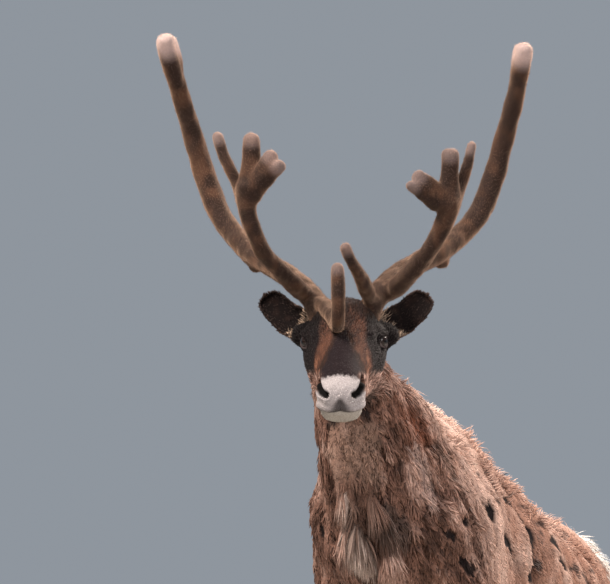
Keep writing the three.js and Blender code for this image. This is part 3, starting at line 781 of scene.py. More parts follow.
def neckColour(points):
    # matted neck: the locks' dark and pale tones, laid as painted shade in the furrows between the locks and
    # painted light on their crests, a pale throat, and the two pale bands of the mane
    body = points - withersAt
    x, y, z = body.T
    locks = lockHeight(body)
    fine = wobble(alongNeck(body) * [1, 1, 0.2], 6, 27)
    colour = plain(points, tone["neck"])
    # paler on the crests of the locks, painted light, and darker in the furrows between them, painted shade
    colour = mixed(colour, tone["neckPaleAndLit"], 0.75 * ramp(locks + 0.5 * fine, -0.05, 0.85))
    colour = mixed(colour, tone["neckDarkAndShade"], 0.8 * ramp(-locks - 0.5 * fine, 0.0, 0.8))
    crest, _ = distanceToLine(body, [(112, -345, 1215), (112, -300, 1165)])
    colour = mixed(colour, tone["crest"], 0.85 * bump(crest, 34))
    smooth, _ = distanceToLine(body, [(114, -320, 1125), (124, -282, 1075), (124, -272, 1035)])
    colour = mixed(colour, tone["smooth"], 0.85 * (1 - ramp(smooth + 4 * fine, 18, 30)))
    front = 1 - ramp(y + 0.62 * (z - 1000), -262, -215)
    throat = (1 - ramp(np.abs(x - 4) + 5 * fine, 38, 54)) * front
    throat = throat * ramp(z, 1040, 1080) * (1 - ramp(z, 1170, 1200))
    colour = mixed(colour, tone["throat"], 0.85 * throat * (0.75 + 0.35 * fine))
    centre = bump(x - 3, 22) * (1 - ramp(z, 1030, 1090)) * front
    colour = mixed(colour, tone["maneDark"], 0.85 * centre)
    dark = 1 - ramp(nearestOf(body, darkUnderJaw) + 5 * fine, 10, 20)
    colour = mixed(colour, tone["shed"], 0.9 * dark)
    colour = mixed(colour, tone["mane"], 0.9 * (1 - ramp(nearestOf(body, maneBands) + 4 * fine, 12, 21)))
    bare, _ = distanceToLine(body, [(52, -365, 1005), (80, -325, 972), (78, -318, 940)])
    return mixed(colour, tone["bare"], 0.85 * (1 - ramp(bare + 5 * fine, 16, 30)))


def bodyColour(points):
    # pinkish brown trunk in moult with painted light and shade on its back, folds, edges and chest; dark
    # brown legs, white rump
    body = points - withersAt
    x, y, z = body.T
    large, mid, fine = wobble(body, 140, 21), wobble(body, 46, 22), wobble(body, 15, 23)
    grain = wobble(body * [1, 0.35, 1], 7, 26)
    colour = plain(points, tone["trunk"])
    colour = mixed(colour, tone["trunkPaleAndLit"], 0.6 * ramp(large + 0.6 * mid + 0.3 * grain, -0.1, 0.9))
    colour = mixed(colour, tone["trunkDarkAndShade"], 0.65 * ramp(-large - 0.6 * mid + 0.4 * fine, 0.1, 1.0))
    # paler along the top of the back: painted light from above
    colour = mixed(colour, tone["trunkPaleAndLit"], 0.62 * ramp(z + 0.14 * y, 1060, 1200))
    # paler on the crests of the coat's folds and darker in their furrows: painted light and painted shade
    fold = coatFold(body)
    colour = mixed(colour, tone["trunkPaleAndLit"], 0.4 * ramp(fold, 0.1, 0.8))
    colour = mixed(colour, tone["trunkDarkAndShade"], 0.55 * ramp(-fold, 0.2, 1.0))
    # darker brown low on the front of the chest: the brisket's own reddish brown and painted shade under the
    # chest
    brisket = (1 - ramp(z + 20 * mid, 700, 850)) * (1 - ramp(y, -120, 60))
    colour = mixed(colour, tone["chestAndShade"], 0.85 * brisket)
    colour = mixed(colour, tone["belly"], (1 - ramp(z, 640, 720)) * ramp(y, 100, 260) * 0.8)
    blotch = ramp(wobble(body * [1, 0.8, 1.9] + 31, 34, 24) + 0.35 * fine, 0.66, 0.8)
    colour = mixed(colour, tone["shed"], 0.8 * blotch * ramp(z, 700, 780))
    # a dark line along each edge, in the furrow that the relief cuts there: painted shade
    for line, _ in coatEdges:
        colour = mixed(colour, tone["trunkDarkAndShade"], 0.75 * bump(beside(body, line), 7))
    colour = mixed(colour, tone["shed"], 0.96 * shedAmount(points))
    white = ramp(y + 0.25 * (z - 880) + 26 * mid + 30 * large + 9 * fine, 815, 858)
    colour = mixed(colour, tone["rump"], white * ramp(z + 20 * mid, 700, 770))
    legColour = plain(points, tone["leg"])
    legColour = mixed(legColour, tone["legPale"], 0.4 * ramp(mid + 0.4 * fine, 0.2, 1.0))
    legColour = mixed(legColour, tone["legPale"], 0.9 * bump(z - 76, 16))
    inside = ramp(-np.abs(x), -96, -78) * ramp(z, 500, 640)
    legColour = mixed(legColour, tone["belly"], 0.6 * inside)
    return mixed(colour, legColour, legness(points))


def coatColour(points):
    # colour of skin and hair by place, in linear light
    colour = bodyColour(points)
    neck, head = neckness(points), headness(points)
    colour = mixed(colour, neckColour(points), neck)
    colour = mixed(colour, tone["shed"], 0.96 * shedAmount(points))
    return mixed(colour, faceColour(points), head)


paint(skin, coatColour(calm))
print("skin painted")

# Materials


def newMaterial(name):
    material = bpy.data.materials.new(name)
    material.use_nodes = True
    material.node_tree.nodes.clear()
    return material


def addNode(material, kind, links=None, inputs=None, **settings):
    # One node with its settings, its fixed inputs, and the sockets that feed it. A colour mix has its
    # factor at socket 0 and its two colours at 6 and 7.
    node = material.node_tree.nodes.new(kind)
    for key, value in settings.items():
        setattr(node, key, value)
    for key, value in (inputs or {}).items():
        node.inputs[key].default_value = value
    for key, source in (links or {}).items():
        material.node_tree.links.new(source, node.inputs[key])
    return node


def four(colour):
    # a colour with full opacity, as a socket takes it
    return (*[float(v) for v in colour], 1.0)


# Deer hair is hollow and dull: almost no gloss, and a soft light edge. Grain is the spots in a metre, coarser
# than real hairs so that they show, and shades are the darkest and the lightest of them.
skinHairLook = {
    "roughness": 0.8, "ior": 1.5, "specular": 0.06, "sheen": 0.02, "sheenSoft": 0.5, "sheenColour": "#e8d6c8",
    "grain": 420.0, "detail": 3.0, "breakUp": 0.6, "shades": (0.72, 1.22), "depth": 0.0014, "strength": 0.7,
}
tuftHairLook = dict(skinHairLook, roughness=0.65, specular=0.12, sheen=0.04, grain=260.0, depth=0.0002)
# Velvet is living skin with short dense hair, whose edges catch the light
velvetLook = {
    "roughness": 0.85, "ior": 1.45, "specular": 0.2, "sheen": 0.9, "sheenSoft": 0.4, "sheenColour": "#f4c8a8",
    "grain": 700.0, "detail": 4.0, "breakUp": 0.7, "shades": (0.7, 1.3), "depth": 0.0012, "strength": 0.8,
}


def hairMaterial(name, look):
    # the tint attribute holds the markings; fine noise varies them and gives the height of the bump
    material = newMaterial(name)
    tint = addNode(material, "ShaderNodeAttribute", attribute_name="tint")
    place = addNode(material, "ShaderNodeTexCoord")
    speck = addNode(material, "ShaderNodeTexNoise", {"Vector": place.outputs["Object"]},
                    {"Scale": look["grain"], "Detail": look["detail"], "Roughness": look["breakUp"]})
    low, high = look["shades"]
    shade = addNode(material, "ShaderNodeMapRange", {"Value": speck.outputs["Fac"]},
                    {"From Min": 0.3, "From Max": 0.7, "To Min": low, "To Max": high})
    colour = addNode(material, "ShaderNodeMix", {6: tint.outputs["Color"], 7: shade.outputs["Result"]},
                     {0: 1.0}, data_type="RGBA", blend_type="MULTIPLY")
    relief = addNode(material, "ShaderNodeBump", {"Height": speck.outputs["Fac"]},
                     {"Distance": look["depth"], "Strength": look["strength"]})
    surface = addNode(material, "ShaderNodeBsdfPrincipled",
                      {"Base Color": colour.outputs[2], "Normal": relief.outputs["Normal"]},
                      {"Roughness": look["roughness"], "IOR": look["ior"], "Sheen Weight": look["sheen"],
                       "Sheen Roughness": look["sheenSoft"], "Sheen Tint": four(linear(look["sheenColour"])),
                       "Specular IOR Level": look["specular"]})
    addNode(material, "ShaderNodeOutputMaterial", {"Surface": surface.outputs["BSDF"]})
    return material


hairOnSkin = hairMaterial("short deer hair over skin", skinHairLook)
hairTuft = hairMaterial("deer hair tufts", tuftHairLook)
velvet = hairMaterial("antler velvet", velvetLook)
skin.data.materials.append(hairOnSkin)

# The coat


def skinSampler(piece):
    # what scattered needs of a piece: its triangles, points, normals, areas, middles and colours
    mesh = piece.data
    mesh.calc_loop_triangles()
    corners = np.empty(len(mesh.loop_triangles) * 3, np.int32)
    mesh.loop_triangles.foreach_get("vertices", corners)
    corners = corners.reshape(-1, 3)
    places, normals = pointsOf(piece), normalsOf(piece)
    tint = np.empty(len(places) * 4, np.float32)
    mesh.color_attributes["tint"].data.foreach_get("color", tint)
    a, b, c = places[corners[:, 0]], places[corners[:, 1]], places[corners[:, 2]]
    area = np.linalg.norm(np.cross(b - a, c - a), axis=1) / 2
    return corners, places, normals, area, (a + b + c) / 3, tint.reshape(-1, 4)[:, :3].astype(float)


def scattered(sampler, weightOf, count, seed):
    # random roots on the skin, as dense as weightOf says, each with the skin's own colour there
    corners, places, normals, area, middles, tint = sampler
    chance = np.random.default_rng(seed)
    weight = area * weightOf(middles)
    total = np.cumsum(weight)
    picked = np.searchsorted(total, (np.arange(count) + chance.random(count)) / count * total[-1])
    picked = np.minimum(picked, len(corners) - 1)
    u, v = chance.random((2, count))
    over = u + v > 1
    u, v = np.where(over, 1 - u, u)[:, None], np.where(over, 1 - v, v)[:, None]
    chosen = corners[picked]
    blend = [1 - u - v, u, v]
    root = sum(w * places[chosen[:, k]] for k, w in enumerate(blend))
    normal = unit(sum(w * normals[chosen[:, k]] for k, w in enumerate(blend)))
    return root, normal, sum(w * tint[chosen[:, k]] for k, w in enumerate(blend))


def lieOfCoat(points):
    # direction in which the hair points: back along the head and trunk, down the neck, legs and haunch
    x, y, z = (points - withersAt).T
    count = len(points)
    way = np.stack([np.zeros(count), np.ones(count), -0.28 - 0.35 * (1 - ramp(z, 700, 1000))], -1)
    brisketWay = np.stack([0.2 * np.sign(x), np.full(count, 0.55), np.full(count, -1.0)], -1)
    way = mixed(way, brisketWay, 1 - ramp(y, -230, -30))
    way = mixed(way, [0, 0.62, -0.9], neckness(points))
    way = mixed(way, [0, 0.12, -1.0], legness(points))
    rumpWay = np.stack([0.25 * np.sign(x), np.full(count, 0.35), np.full(count, -1.0)], -1)
    way = mixed(way, rumpWay, ramp(y, 800, 930) * (1 - legness(points)))
    return mixed(way, np.array([0, 1.0, 0.06]) @ faceTurn.T, headness(points))


# The unwrap of each kind of coat: where it starts, how long it is, and its axis
unwrapLook = {
    "trunk": {"start": -460, "long": 1520, "axisUp": 900},
    "head": {"start": -270, "long": 460, "axisUp": -35},
    "leg": {"long": 1000, "axisOut": 114.0, "hindAxis": 900.0, "hindFrom": 400},
    "ear": {"backFrom": -40, "upFrom": -60, "long": 200},
    "halfWide": 0.48,  # of the map, where the left and the right piece share it
}


def turnShare(out, up):
    # angle round an axis as a share of a whole turn
    return np.arctan2(out, up) / (2 * np.pi) + 0.5


def unwrapOf(points, kind):
    # place on a cylinder round the trunk, the leg or the face, as fractions of it; the ear is laid flat
    if kind == "antler":
        return antlerUnwrap(points)
    box = unwrapLook[kind]
    if kind == "head":
        x, y, z = toFace(points).T
        return np.stack([turnShare(x, z - box["axisUp"]), (y - box["start"]) / box["long"]], -1)
    if kind == "ear":
        x, y, z = ((points - eyesPlace) @ skullTurn).T
        wide, high = (y - box["backFrom"]) / box["long"], (z - box["upFrom"]) / box["long"]
        return np.stack([wide * unwrapLook["halfWide"] + 0.5 * (x > 0), high], -1)
    x, y, z = (points - withersAt).T
    if kind == "leg":
        out = x - np.where(x > 0, box["axisOut"], -box["axisOut"])
        back = y - np.where(y > box["hindFrom"], box["hindAxis"], 0)
        return np.stack([turnShare(out, back) * unwrapLook["halfWide"] + 0.5 * (x > 0), z / box["long"]], -1)
    return np.stack([turnShare(x, z - box["axisUp"]), (y - box["start"]) / box["long"]], -1)


# What a coat has unless its own dictionary says otherwise: the way it lies, the size of its swirls, how far a
# tuft bends over, hangs and curls, its clumps and how close they draw together, how its width runs out, and
# how its shade varies and goes from root to tip. Lengths are millimetres, and lift is height over length.
tuftLook = {
    "way": lieOfCoat, "swirlSize": 60, "droop": 0.45, "hang": 0.0, "curl": 0.0, "clumps": 0, "clumping": 0.6,
    "taper": 1.6, "variety": 0.13, "rootShade": 0.62, "tipShade": 1.18,
}
rootDepth = 0.9  # how deep the roots are set in the skin


def combed(root, normal, look, seed):
    # The middle line of each tuft, with t from 0 at the root to 1 at the tip: along the skin by the length
    # times t, and off it by the lift times the length times t - droop * t * t.
    chance = np.random.default_rng(seed)
    count = len(root)
    way = look["way"](root)
    swirl = np.stack([wobble(root, look["swirlSize"], seed + k) for k in range(3)], -1)
    way = unit(way) + swirl * look["swirl"] + chance.normal(0, look["stray"], (count, 3))
    way = unit(way - normal * np.einsum("ij,ij->i", way, normal)[:, None])
    length, lift = [look[key](root) if callable(look[key]) else look[key] for key in ("length", "lift")]
    length = length * chance.uniform(0.7, 1.25, count)
    lift = lift * chance.uniform(0.6, 1.4, count)
    t = np.linspace(0, 1, look["rings"] + 1)[None, :, None]
    rise = lift[:, None, None] * length[:, None, None] * (t - look["droop"] * t * t)
    path = root[:, None] + way[:, None] * (length[:, None, None] * t) + normal[:, None] * rise
    path = path - normal[:, None] * rootDepth
    path[..., 2] -= look["hang"] * length[:, None] * t[0, :, 0][None, :] ** 2
    across = np.cross(way, normal)
    turns, start = chance.uniform(3, 7, count), chance.uniform(0, 6, count)
    wave = np.sin(t * turns[:, None, None] + start[:, None, None])
    path = path + across[:, None] * (look["curl"] * t * wave)
    if look["clumps"]:
        centres = chance.choice(count, look["clumps"], replace=False)
        nearest = np.empty(count, int)
        batch = 2000
        for first in range(0, count, batch):
            part = slice(first, first + batch)
            gap = root[part, None] - root[None, centres]
            nearest[part] = centres[np.argmin(np.einsum("ijk,ijk->ij", gap, gap), axis=1)]
        pull = look["clumping"] * t ** 1.5
        path = path + (path[nearest] - path) * pull * (1 - 0.35 * t)
    return path


def tuftPiece(name, roots, look, seed, kind, material):
    # each tuft is a closed three-sided blade, whose half width runs out to a point as 1 - t ** taper
    look = {**tuftLook, **look}
    chance = np.random.default_rng(seed + 500)
    root, normal, colour = roots
    path = combed(root, normal, look, seed)
    count, rings = path.shape[0], path.shape[1] - 1
    along = unit(path[:, 1:] - path[:, :-1])
    along = np.concatenate([along, along[:, -1:]], 1)
    side = unit(np.cross(along, normal[:, None]))
    over = np.cross(side, along)
    wide = look["width"] * chance.uniform(0.7, 1.3, count)[:, None, None]
    t = np.linspace(0, 1, rings + 1)[None, :, None]
    belly = 0.7 + 0.6 * np.sin(np.pi * np.minimum(t + 0.15, 1))
    half = (wide * 0.5 * (1 - t ** look["taper"]) * belly)[:, :-1]
    spine, flat = path[:, :-1], side[:, :-1] * half
    ring = np.stack([spine + flat, spine - flat, spine + over[:, :-1] * half * 0.5], 2)
    stem = ring.reshape(count, rings * 3, 3)
    points = np.concatenate([stem, path[:, -1:]], 1)
    per = rings * 3 + 1
    k = np.arange(3)
    bands = []
    for r in range(rings - 1):
        a, b = r * 3 + k, r * 3 + (k + 1) % 3
        bands.append(np.stack([a, b, b + 3, a + 3], -1))
    last = (rings - 1) * 3
    tips = np.stack([last + k, last + (k + 1) % 3, np.full(3, per - 1)], -1)
    tris = np.concatenate([np.array([[0, 2, 1]]), tips])
    start = (np.arange(count) * per)[:, None, None]
    faces = [(np.concatenate(bands)[None] + start).reshape(-1, 4)] if bands else []
    faces.append((tris[None] + start).reshape(-1, 3))
    piece = newPiece(name, points.reshape(-1, 3), faces)
    # colour: by the root's place, darker at the root and paler at the tip
    bright = chance.normal(1, look["variety"], count)[:, None]
    shade = np.linspace(look["rootShade"], look["tipShade"], rings)
    shade = np.append(np.repeat(shade, 3), look["tipShade"])
    full = np.clip(colour[:, None] * bright[:, None] * shade[None, :, None], 0.002, 0.95)
    paint(piece, full.reshape(-1, 3))
    # the OFBake map: each tuft is a patch at its root's place on the unwrap, its three sides side by side
    patch = 0.003
    spot = unwrapOf(root, kind) * (1 - 2 * patch) + patch / 2

    def cornersOf(*corners):
        # one face on each side; a corner is its place across the side and up the tuft, both 0 to 1
        return np.stack([np.stack([(k + across) / 3, np.full(3, high)], -1) for across, high in corners], 1)

    bandMaps = []
    for r in range(rings - 1):
        low, high = r / rings, (r + 1) / rings
        bandMaps.append(cornersOf((0, low), (1, low), (1, high), (0, high)))
    low = 1 - 1 / rings
    capMap = np.array([[[0, 0], [1 / 6, 1 / 3], [1 / 3, 0]]])
    maps = [np.concatenate(bandMaps)] if bandMaps else []
    maps.append(np.concatenate([capMap, cornersOf((0, low), (1, low), (0.5, 1))]))
    maps = [(group.reshape(1, -1, 2) * patch + spot[:, None] - patch / 2).ravel() for group in maps]
    layer = piece.data.uv_layers.new(name="OFBake")
    layer.data.foreach_set("uv", np.concatenate(maps).astype(np.float32))
    piece.data.materials.append(material)
    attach(piece, "root")
    print(name, count, "tufts")


sampler = skinSampler(skin)


def everywhere(points):
    return np.ones(len(points))


def behindWithers(points):
    return points[:, 1] - withersAt[1]


def onSide(points, name):
    # whether each point is on that side of the trunk's middle plane
    return (points[:, 0] > withersAt[0]) == (name == "left")


def trunkShare(points, end, name):
    # the trunk's coat in one quarter of it, without head, neck and legs
    trunk = (1 - headness(points)) * (1 - neckness(points)) * (1 - legness(points))
    return trunk * ((behindWithers(points) < trunkLook["middle"]) == (end == "front")) * onSide(points, name)


def clearOfShed(points, length):
    # hair whose tip would hang over a shed patch is short
    tip = points + unit(lieOfCoat(points)) * 12
    return length * (1 - 0.72 * np.maximum(shedAmount(points), shedAmount(tip)))


def trunkLength(points):
    body = points - withersAt
    rump = ramp(body[:, 1], 810, 880) * ramp(body[:, 2], 720, 800)
    brisket = (1 - ramp(body[:, 1], -240, -100)) * (1 - ramp(body[:, 2], 760, 900))
    return clearOfShed(points, 14 + 18 * rump + 12 * brisket + 4 * wobble(body, 50, 71))


def trunkLift(points):
    # lies flat on the flanks and fluffs up a little in patches
    body = points - withersAt
    return 0.15 + 0.3 * ramp(wobble(body, 42, 73), 0.35, 0.8)


trunkLook = {
    "count": 13000, "middle": 270, "length": trunkLength, "width": 4.2, "lift": trunkLift, "rings": 2,
    "swirl": 0.3, "stray": 0.16, "swirlSize": 34, "clumps": 2600, "clumping": 0.55, "variety": 0.14,
    "rootShade": 0.58, "tipShade": 1.26,
}
quarters = [(end, name) for end in ("front", "rear") for name in ("left", "right")]
for i, (end, name) in enumerate(quarters):
    roots = scattered(sampler, lambda p: trunkShare(p, end, name), trunkLook["count"], 100 + i)
    tuftPiece("coat_trunk_%s_%s" % (end, name), roots, trunkLook, 120 + i, "trunk", hairTuft)


def neckLength(points):
    body = points - withersAt
    front = (1 - ramp(np.abs(body[:, 0] - 4), 40, 60)) * ramp(body[:, 2], 1050, 1090)
    front = front * (1 - ramp(body[:, 1], -330, -290))
    low = ramp(-body[:, 2], -1000, -860) * (1 - ramp(body[:, 1], -300, -240))
    return clearOfShed(points, (26 + 9 * wobble(body, 50, 72) + 16 * low) * (1 - 0.4 * front))


def neckLift(points):
    body = points - withersAt
    return 0.13 + 0.3 * ramp(wobble(body, 40, 74), 0.3, 0.8)


neckLook = {
    "count": 8600, "length": neckLength, "width": 4.2, "lift": neckLift, "rings": 3, "swirl": 0.36,
    "stray": 0.12, "swirlSize": 30, "clumps": 900, "clumping": 0.85, "variety": 0.13, "curl": 4.0,
    "rootShade": 0.46, "tipShade": 1.34,
}
for i, name in enumerate(("left", "right")):
    roots = scattered(sampler, lambda p: neckness(p) * (1 - headness(p)) * onSide(p, name),
                      neckLook["count"], 140 + i)
    tuftPiece("coat_neck_" + name, roots, neckLook, 150 + i, "trunk", hairTuft)


def maneShare(points):
    body = points - withersAt
    return 1 - ramp(nearestOf(body, maneBands), 12, 22)


def maneLength(points):
    body = points - withersAt
    return 34 + 26 * bump(body[:, 2] - 980, 60)


maneLook = {
    "count": 2600, "length": maneLength, "width": 4.4, "lift": 0.5, "rings": 5, "swirl": 0.25, "stray": 0.14,
    "droop": 0.3, "swirlSize": 40, "clumps": 260, "clumping": 0.7, "hang": 0.3, "variety": 0.16, "taper": 2.2,
    "curl": 3.0, "rootShade": 0.6, "tipShade": 1.2,
}
roots = scattered(sampler, maneShare, maneLook["count"], 160)
tuftPiece("coat_mane", roots, maneLook, 161, "trunk", hairTuft)


def wispShare(points):
    # the loose fluff that stands along the top of the neck, the back and the elbows' edge
    body = points - withersAt
    _, y, z = body.T
    top = ramp(z + 0.9 * np.minimum(y, -60) + 0.16 * np.maximum(y, -60), 955, 1010)
    return top * (1 - headness(points)) * ramp(wobble(body, 40, 75), -0.1, 0.5)


# The wisps are painted paler than the coat, up to 1.6 times its colour at the tip: painted light on the loose
# fluff along the top line.
wispLook = {
    "count": 2600, "length": 24.0, "width": 2.4, "lift": 0.9, "rings": 3, "swirl": 0.8, "stray": 0.35,
    "droop": 0.4, "swirlSize": 24, "clumps": 260, "clumping": 0.7, "variety": 0.2, "curl": 4.0,
    "rootShade": 1.0, "tipShade": 1.6,
}
roots = scattered(sampler, wispShare, wispLook["count"], 162)
tuftPiece("coat_wisps", roots, wispLook, 163, "trunk", hairTuft)


def legShare(points, end):
    # the coat of both fore legs or of both hind legs
    return legness(points) * ((behindWithers(points) < legLook["middle"]) == (end == "fore"))


legLook = {
    "count": 10000, "middle": 400, "length": 13.0, "width": 3.6, "lift": 0.26, "rings": 2, "swirl": 0.1,
    "stray": 0.12,
}
for i, end in enumerate(("fore", "hind")):
    roots = scattered(sampler, lambda p: legShare(p, end), legLook["count"], 170 + i)
    tuftPiece("coat_legs_" + end, roots, legLook, 175 + i, "leg", hairTuft)


def faceLength(points):
    at = toFace(points)
    jaw = ramp(-at[:, 2] - 0.2 * at[:, 1], 60, 105) * ramp(at[:, 1], -170, -90)
    brow = ramp(at[:, 1], -110, -40) * ramp(at[:, 2], 20, 50)
    return 3.6 + 7.0 * ramp(at[:, 1], -150, 60) + 16 * jaw + 5 * brow


def faceShare(points):
    at = toFace(points)
    fold = folded(at)
    eyeGap = ramp(np.linalg.norm(fold - [eye["out"], eye["back"], eye["up"]], axis=1), 22, 26)
    pit, _ = nostrilGap(at)
    lipGap = np.where(at[:, 1] < -125, ramp(np.abs(at[:, 2] - mouthHeight(at)), 2.5, 5), 1)
    return headness(points) * eyeGap * ramp(pit, 7, 11) * lipGap * (1.6 - ramp(at[:, 1], -180, -60) * 0.6)


faceHair = {
    "count": 19000, "length": faceLength, "width": 2.1, "lift": 0.34, "rings": 2, "swirl": 0.22,
    "stray": 0.18, "swirlSize": 22, "variety": 0.34, "rootShade": 0.5, "tipShade": 1.25,
}
roots = scattered(sampler, faceShare, faceHair["count"], 180)
tuftPiece("coat_head", roots, faceHair, 181, "head", hairTuft)

# Ears: an outer leaf and a hollow inner leaf on one rim, in the skull's frame: out, back, up from the eyes,
# half width and how far the leaf bows back
ear = [
    (74, 62, 12, 26, 18),
    (91, 82, 34, 31, 18),
    (117, 101, 51, 33, 17),
    (143, 115, 76, 30, 13),
    (162, 125, 98, 18, 8),
]
earAcross = (0.55, -0.15, -0.82)


def relaxedRow(values, times):
    # averages each value with its neighbours along a row
    for _ in range(times):
        inside = (values[:-2] + 2 * values[1:-1] + values[2:]) / 4
        values = np.concatenate([values[:1], inside, values[-1:]])
    return values


def earShape(side):
    # A leaf over the ear's rows: u runs from root to tip, v from rim to rim. Across, it goes as the half
    # width times sin(v pi / 2), and back as the bow times 1 - v * v. Past its middle the leaf narrows to a
    # rounded tip by the superellipse of power 2.9. The inner leaf is the outer less the wall.
    steps, turns = 46, 40
    u = np.linspace(0, 1, steps)
    rows = between(mirrored(ear, side), u * 0.999)
    power = 2.9
    tipping = (1 - np.clip((u - 0.5) / 0.5, 0, 1) ** power) ** (1 / power)
    along = unit(np.gradient(rows[:, :3], axis=0))
    across = np.array([earAcross[0] * side, earAcross[1], earAcross[2]])
    acrossRow = unit(across - along * (along @ across)[:, None])
    back = np.cross(acrossRow, along)
    back = np.where(back[:, 1:2] < 0, -back, back)
    v = np.linspace(-1, 1, turns)
    half = np.where(u > 0.5, np.maximum(tipping, 0.06) * 30, rows[:, 3])
    half = relaxedRow(half, 3)
    bow = rows[:, 4] * np.maximum(tipping, 0.2)
    curve = 1 - v ** 2
    sweep = np.sin(v * np.pi / 2)
    outer = (rows[:, None, :3] + acrossRow[:, None] * (half[:, None] * sweep)[..., None]
             + back[:, None] * (bow[:, None] * curve)[..., None])
    wall = 1.6 + 2.4 * (1 - u)[:, None] * curve
    inner = (rows[:, None, :3] + acrossRow[:, None] * ((half[:, None] - 1.2) * sweep * 0.97)[..., None]
             + back[:, None] * (bow[:, None] * curve - wall - 0.4)[..., None])
    tipReach = along[-1] * 3
    outer = outer + tipReach * (u ** 8)[:, None, None] * curve[None, :, None]
    inner = inner + tipReach * (u ** 8)[:, None, None] * curve[None, :, None] * 0.96
    return outer, inner, back


def sheetPair(outer, inner):
    # closes two grids of one size into a thin solid, round their shared rim
    rows, columns = outer.shape[:2]
    points = np.concatenate([outer.reshape(-1, 3), inner.reshape(-1, 3)])
    r, c = np.meshgrid(np.arange(rows - 1), np.arange(columns - 1), indexing="ij")
    a = (r * columns + c).ravel()
    front = np.stack([a, a + 1, a + columns + 1, a + columns], -1)
    shift = rows * columns
    behind = front[:, ::-1] + shift
    border = np.concatenate([
        np.arange(columns), np.arange(1, rows) * columns + columns - 1,
        (rows - 1) * columns + np.arange(columns - 2, -1, -1), np.arange(rows - 2, 0, -1) * columns,
    ])
    after = np.roll(border, -1)
    wall = np.stack([after, border, border + shift, after + shift], -1)
    return facedOut(points, [np.concatenate([front, behind, wall])])


def earColour(points):
    # dark, greyer in patches, with pale tufts near the head
    at = (points - eyesPlace) @ skullTurn
    grey = np.clip(wobble(points, 12, 81), 0, 1)
    colour = mixed(plain(points, tone["earOut"]), tone["cheek"], 0.5 * grey)
    low = 1 - ramp(np.abs(at[:, 0]), 84, 112)
    return mixed(colour, tone["earTuft"], 0.45 * low * ramp(grey, 0.2, 0.8))


def earWay(points):
    # outwards, back and up along the leaf
    at = (points - eyesPlace) @ skullTurn
    side = np.sign(at[:, :1])
    return np.concatenate([side * 0.6, np.full_like(side, 0.35), np.full_like(side, 0.65)], 1) @ skullTurn.T


# tufts on the back of the ear, round its rim, in its hollow and at its base
earCounts = {"back": 1900, "rim": 700, "inside": 1000, "base": 500}
earLengths = {"back": 6.0, "rim": 4.5, "inside": 6.0, "base": 14.0}
earHair = {
    "length": np.repeat(list(earLengths.values()), list(earCounts.values())), "width": 1.6, "lift": 0.3,
    "rings": 2, "swirl": 0.3, "stray": 0.25, "way": earWay, "swirlSize": 20, "variety": 0.22,
    "rootShade": 0.7, "tipShade": 1.4,
}
for side, name in rightLeft:
    outer, inner, back = earShape(side)
    outer, inner = fromSkull(outer), fromSkull(inner)
    back = back @ skullTurn.T
    piece = newPiece("ear_" + name + "_leaf", *sheetPair(outer, inner))
    movePoints(piece, relaxed(pointsOf(piece), edgesOf(piece), 2))
    count = outer.shape[0] * outer.shape[1]
    colour = earColour(pointsOf(piece))
    colour[count:] = mixed(colour[count:], tone["earIn"], np.full(count, 0.8))
    paint(piece, colour)
    piece.data.materials.append(hairOnSkin)
    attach(piece, "root")
    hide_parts("ear_" + name)
    chance = np.random.default_rng(190 + (side > 0))
    steps, turns = outer.shape[:2]
    backPicks = chance.integers(0, count, earCounts["back"])
    rimRow = np.concatenate([outer[4:, 0], outer[4:, -1], outer[-1, :]])
    rimPicks = chance.integers(0, len(rimRow), earCounts["rim"])
    insidePicks = chance.integers(0, count, earCounts["inside"])
    basePicks = chance.integers(0, turns * steps // 3, earCounts["base"])
    innerFlat = inner.reshape(-1, 3)
    places = np.concatenate([outer.reshape(-1, 3)[backPicks], rimRow[rimPicks], innerFlat[insidePicks],
                             innerFlat[basePicks]])
    rimOut = unit(rimRow[rimPicks] - outer[steps // 2, turns // 2])
    backs = np.repeat(back, turns, axis=0)
    facing = np.concatenate([backs[backPicks], rimOut, -backs[insidePicks], -backs[basePicks]])
    hair = [earColour(outer.reshape(-1, 3)[backPicks])]
    for part, key in (("rim", "earRim"), ("inside", "earOut"), ("base", "earTuft")):
        hair.append(np.tile(tone[key], (earCounts[part], 1)))
    places = places + chance.normal(0, 0.6, places.shape)
    facing = unit(facing + chance.normal(0, 0.15, facing.shape))
    roots = places, facing, np.concatenate(hair)
    tuftPiece("coat_ear_" + name, roots, earHair, 195 + side, "ear", hairTuft)

# Tail
tail = [
    (0, 930, 982, 34, 22, 22),
    (0, 978, 966, 34, 18, 22),
    (0, 1004, 922, 30, 15, 17),
    (0, 1008, 868, 18, 10, 11),
]
tailUnder = [(x, y, z, wide - 8, high - 6, low - 6) for x, y, z, wide, high, low in tail]
tailPoints, tailFaces = ovalBody(tailUnder, 30, 24, (8, 8))
tailPiece = newPiece("tail_skin", tailPoints + withersAt, tailFaces)
paint(tailPiece, coatColour(pointsOf(tailPiece)))
tailPiece.data.materials.append(hairOnSkin)
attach(tailPiece, "root")
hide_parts("tail")


def tailWay(points):
    return plain(points, [0, 0.25, -1.0])


tailLook = {
    "count": 1600, "length": 38.0, "width": 5.0, "lift": 0.3, "rings": 3, "swirl": 0.2, "stray": 0.2,
    "way": tailWay,
}
roots = scattered(skinSampler(tailPiece), everywhere, tailLook["count"], 198)
tuftPiece("coat_tail", roots, tailLook, 199, "trunk", hairTuft)

legNodes = ["leg_%s_%s_%s" % (end, name, part) for end in ("fore", "hind") for _, name in rightLeft
            for part in ("upper", "lower")]
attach(skin, "root")
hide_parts("head", "neck", "trunk", *legNodes)

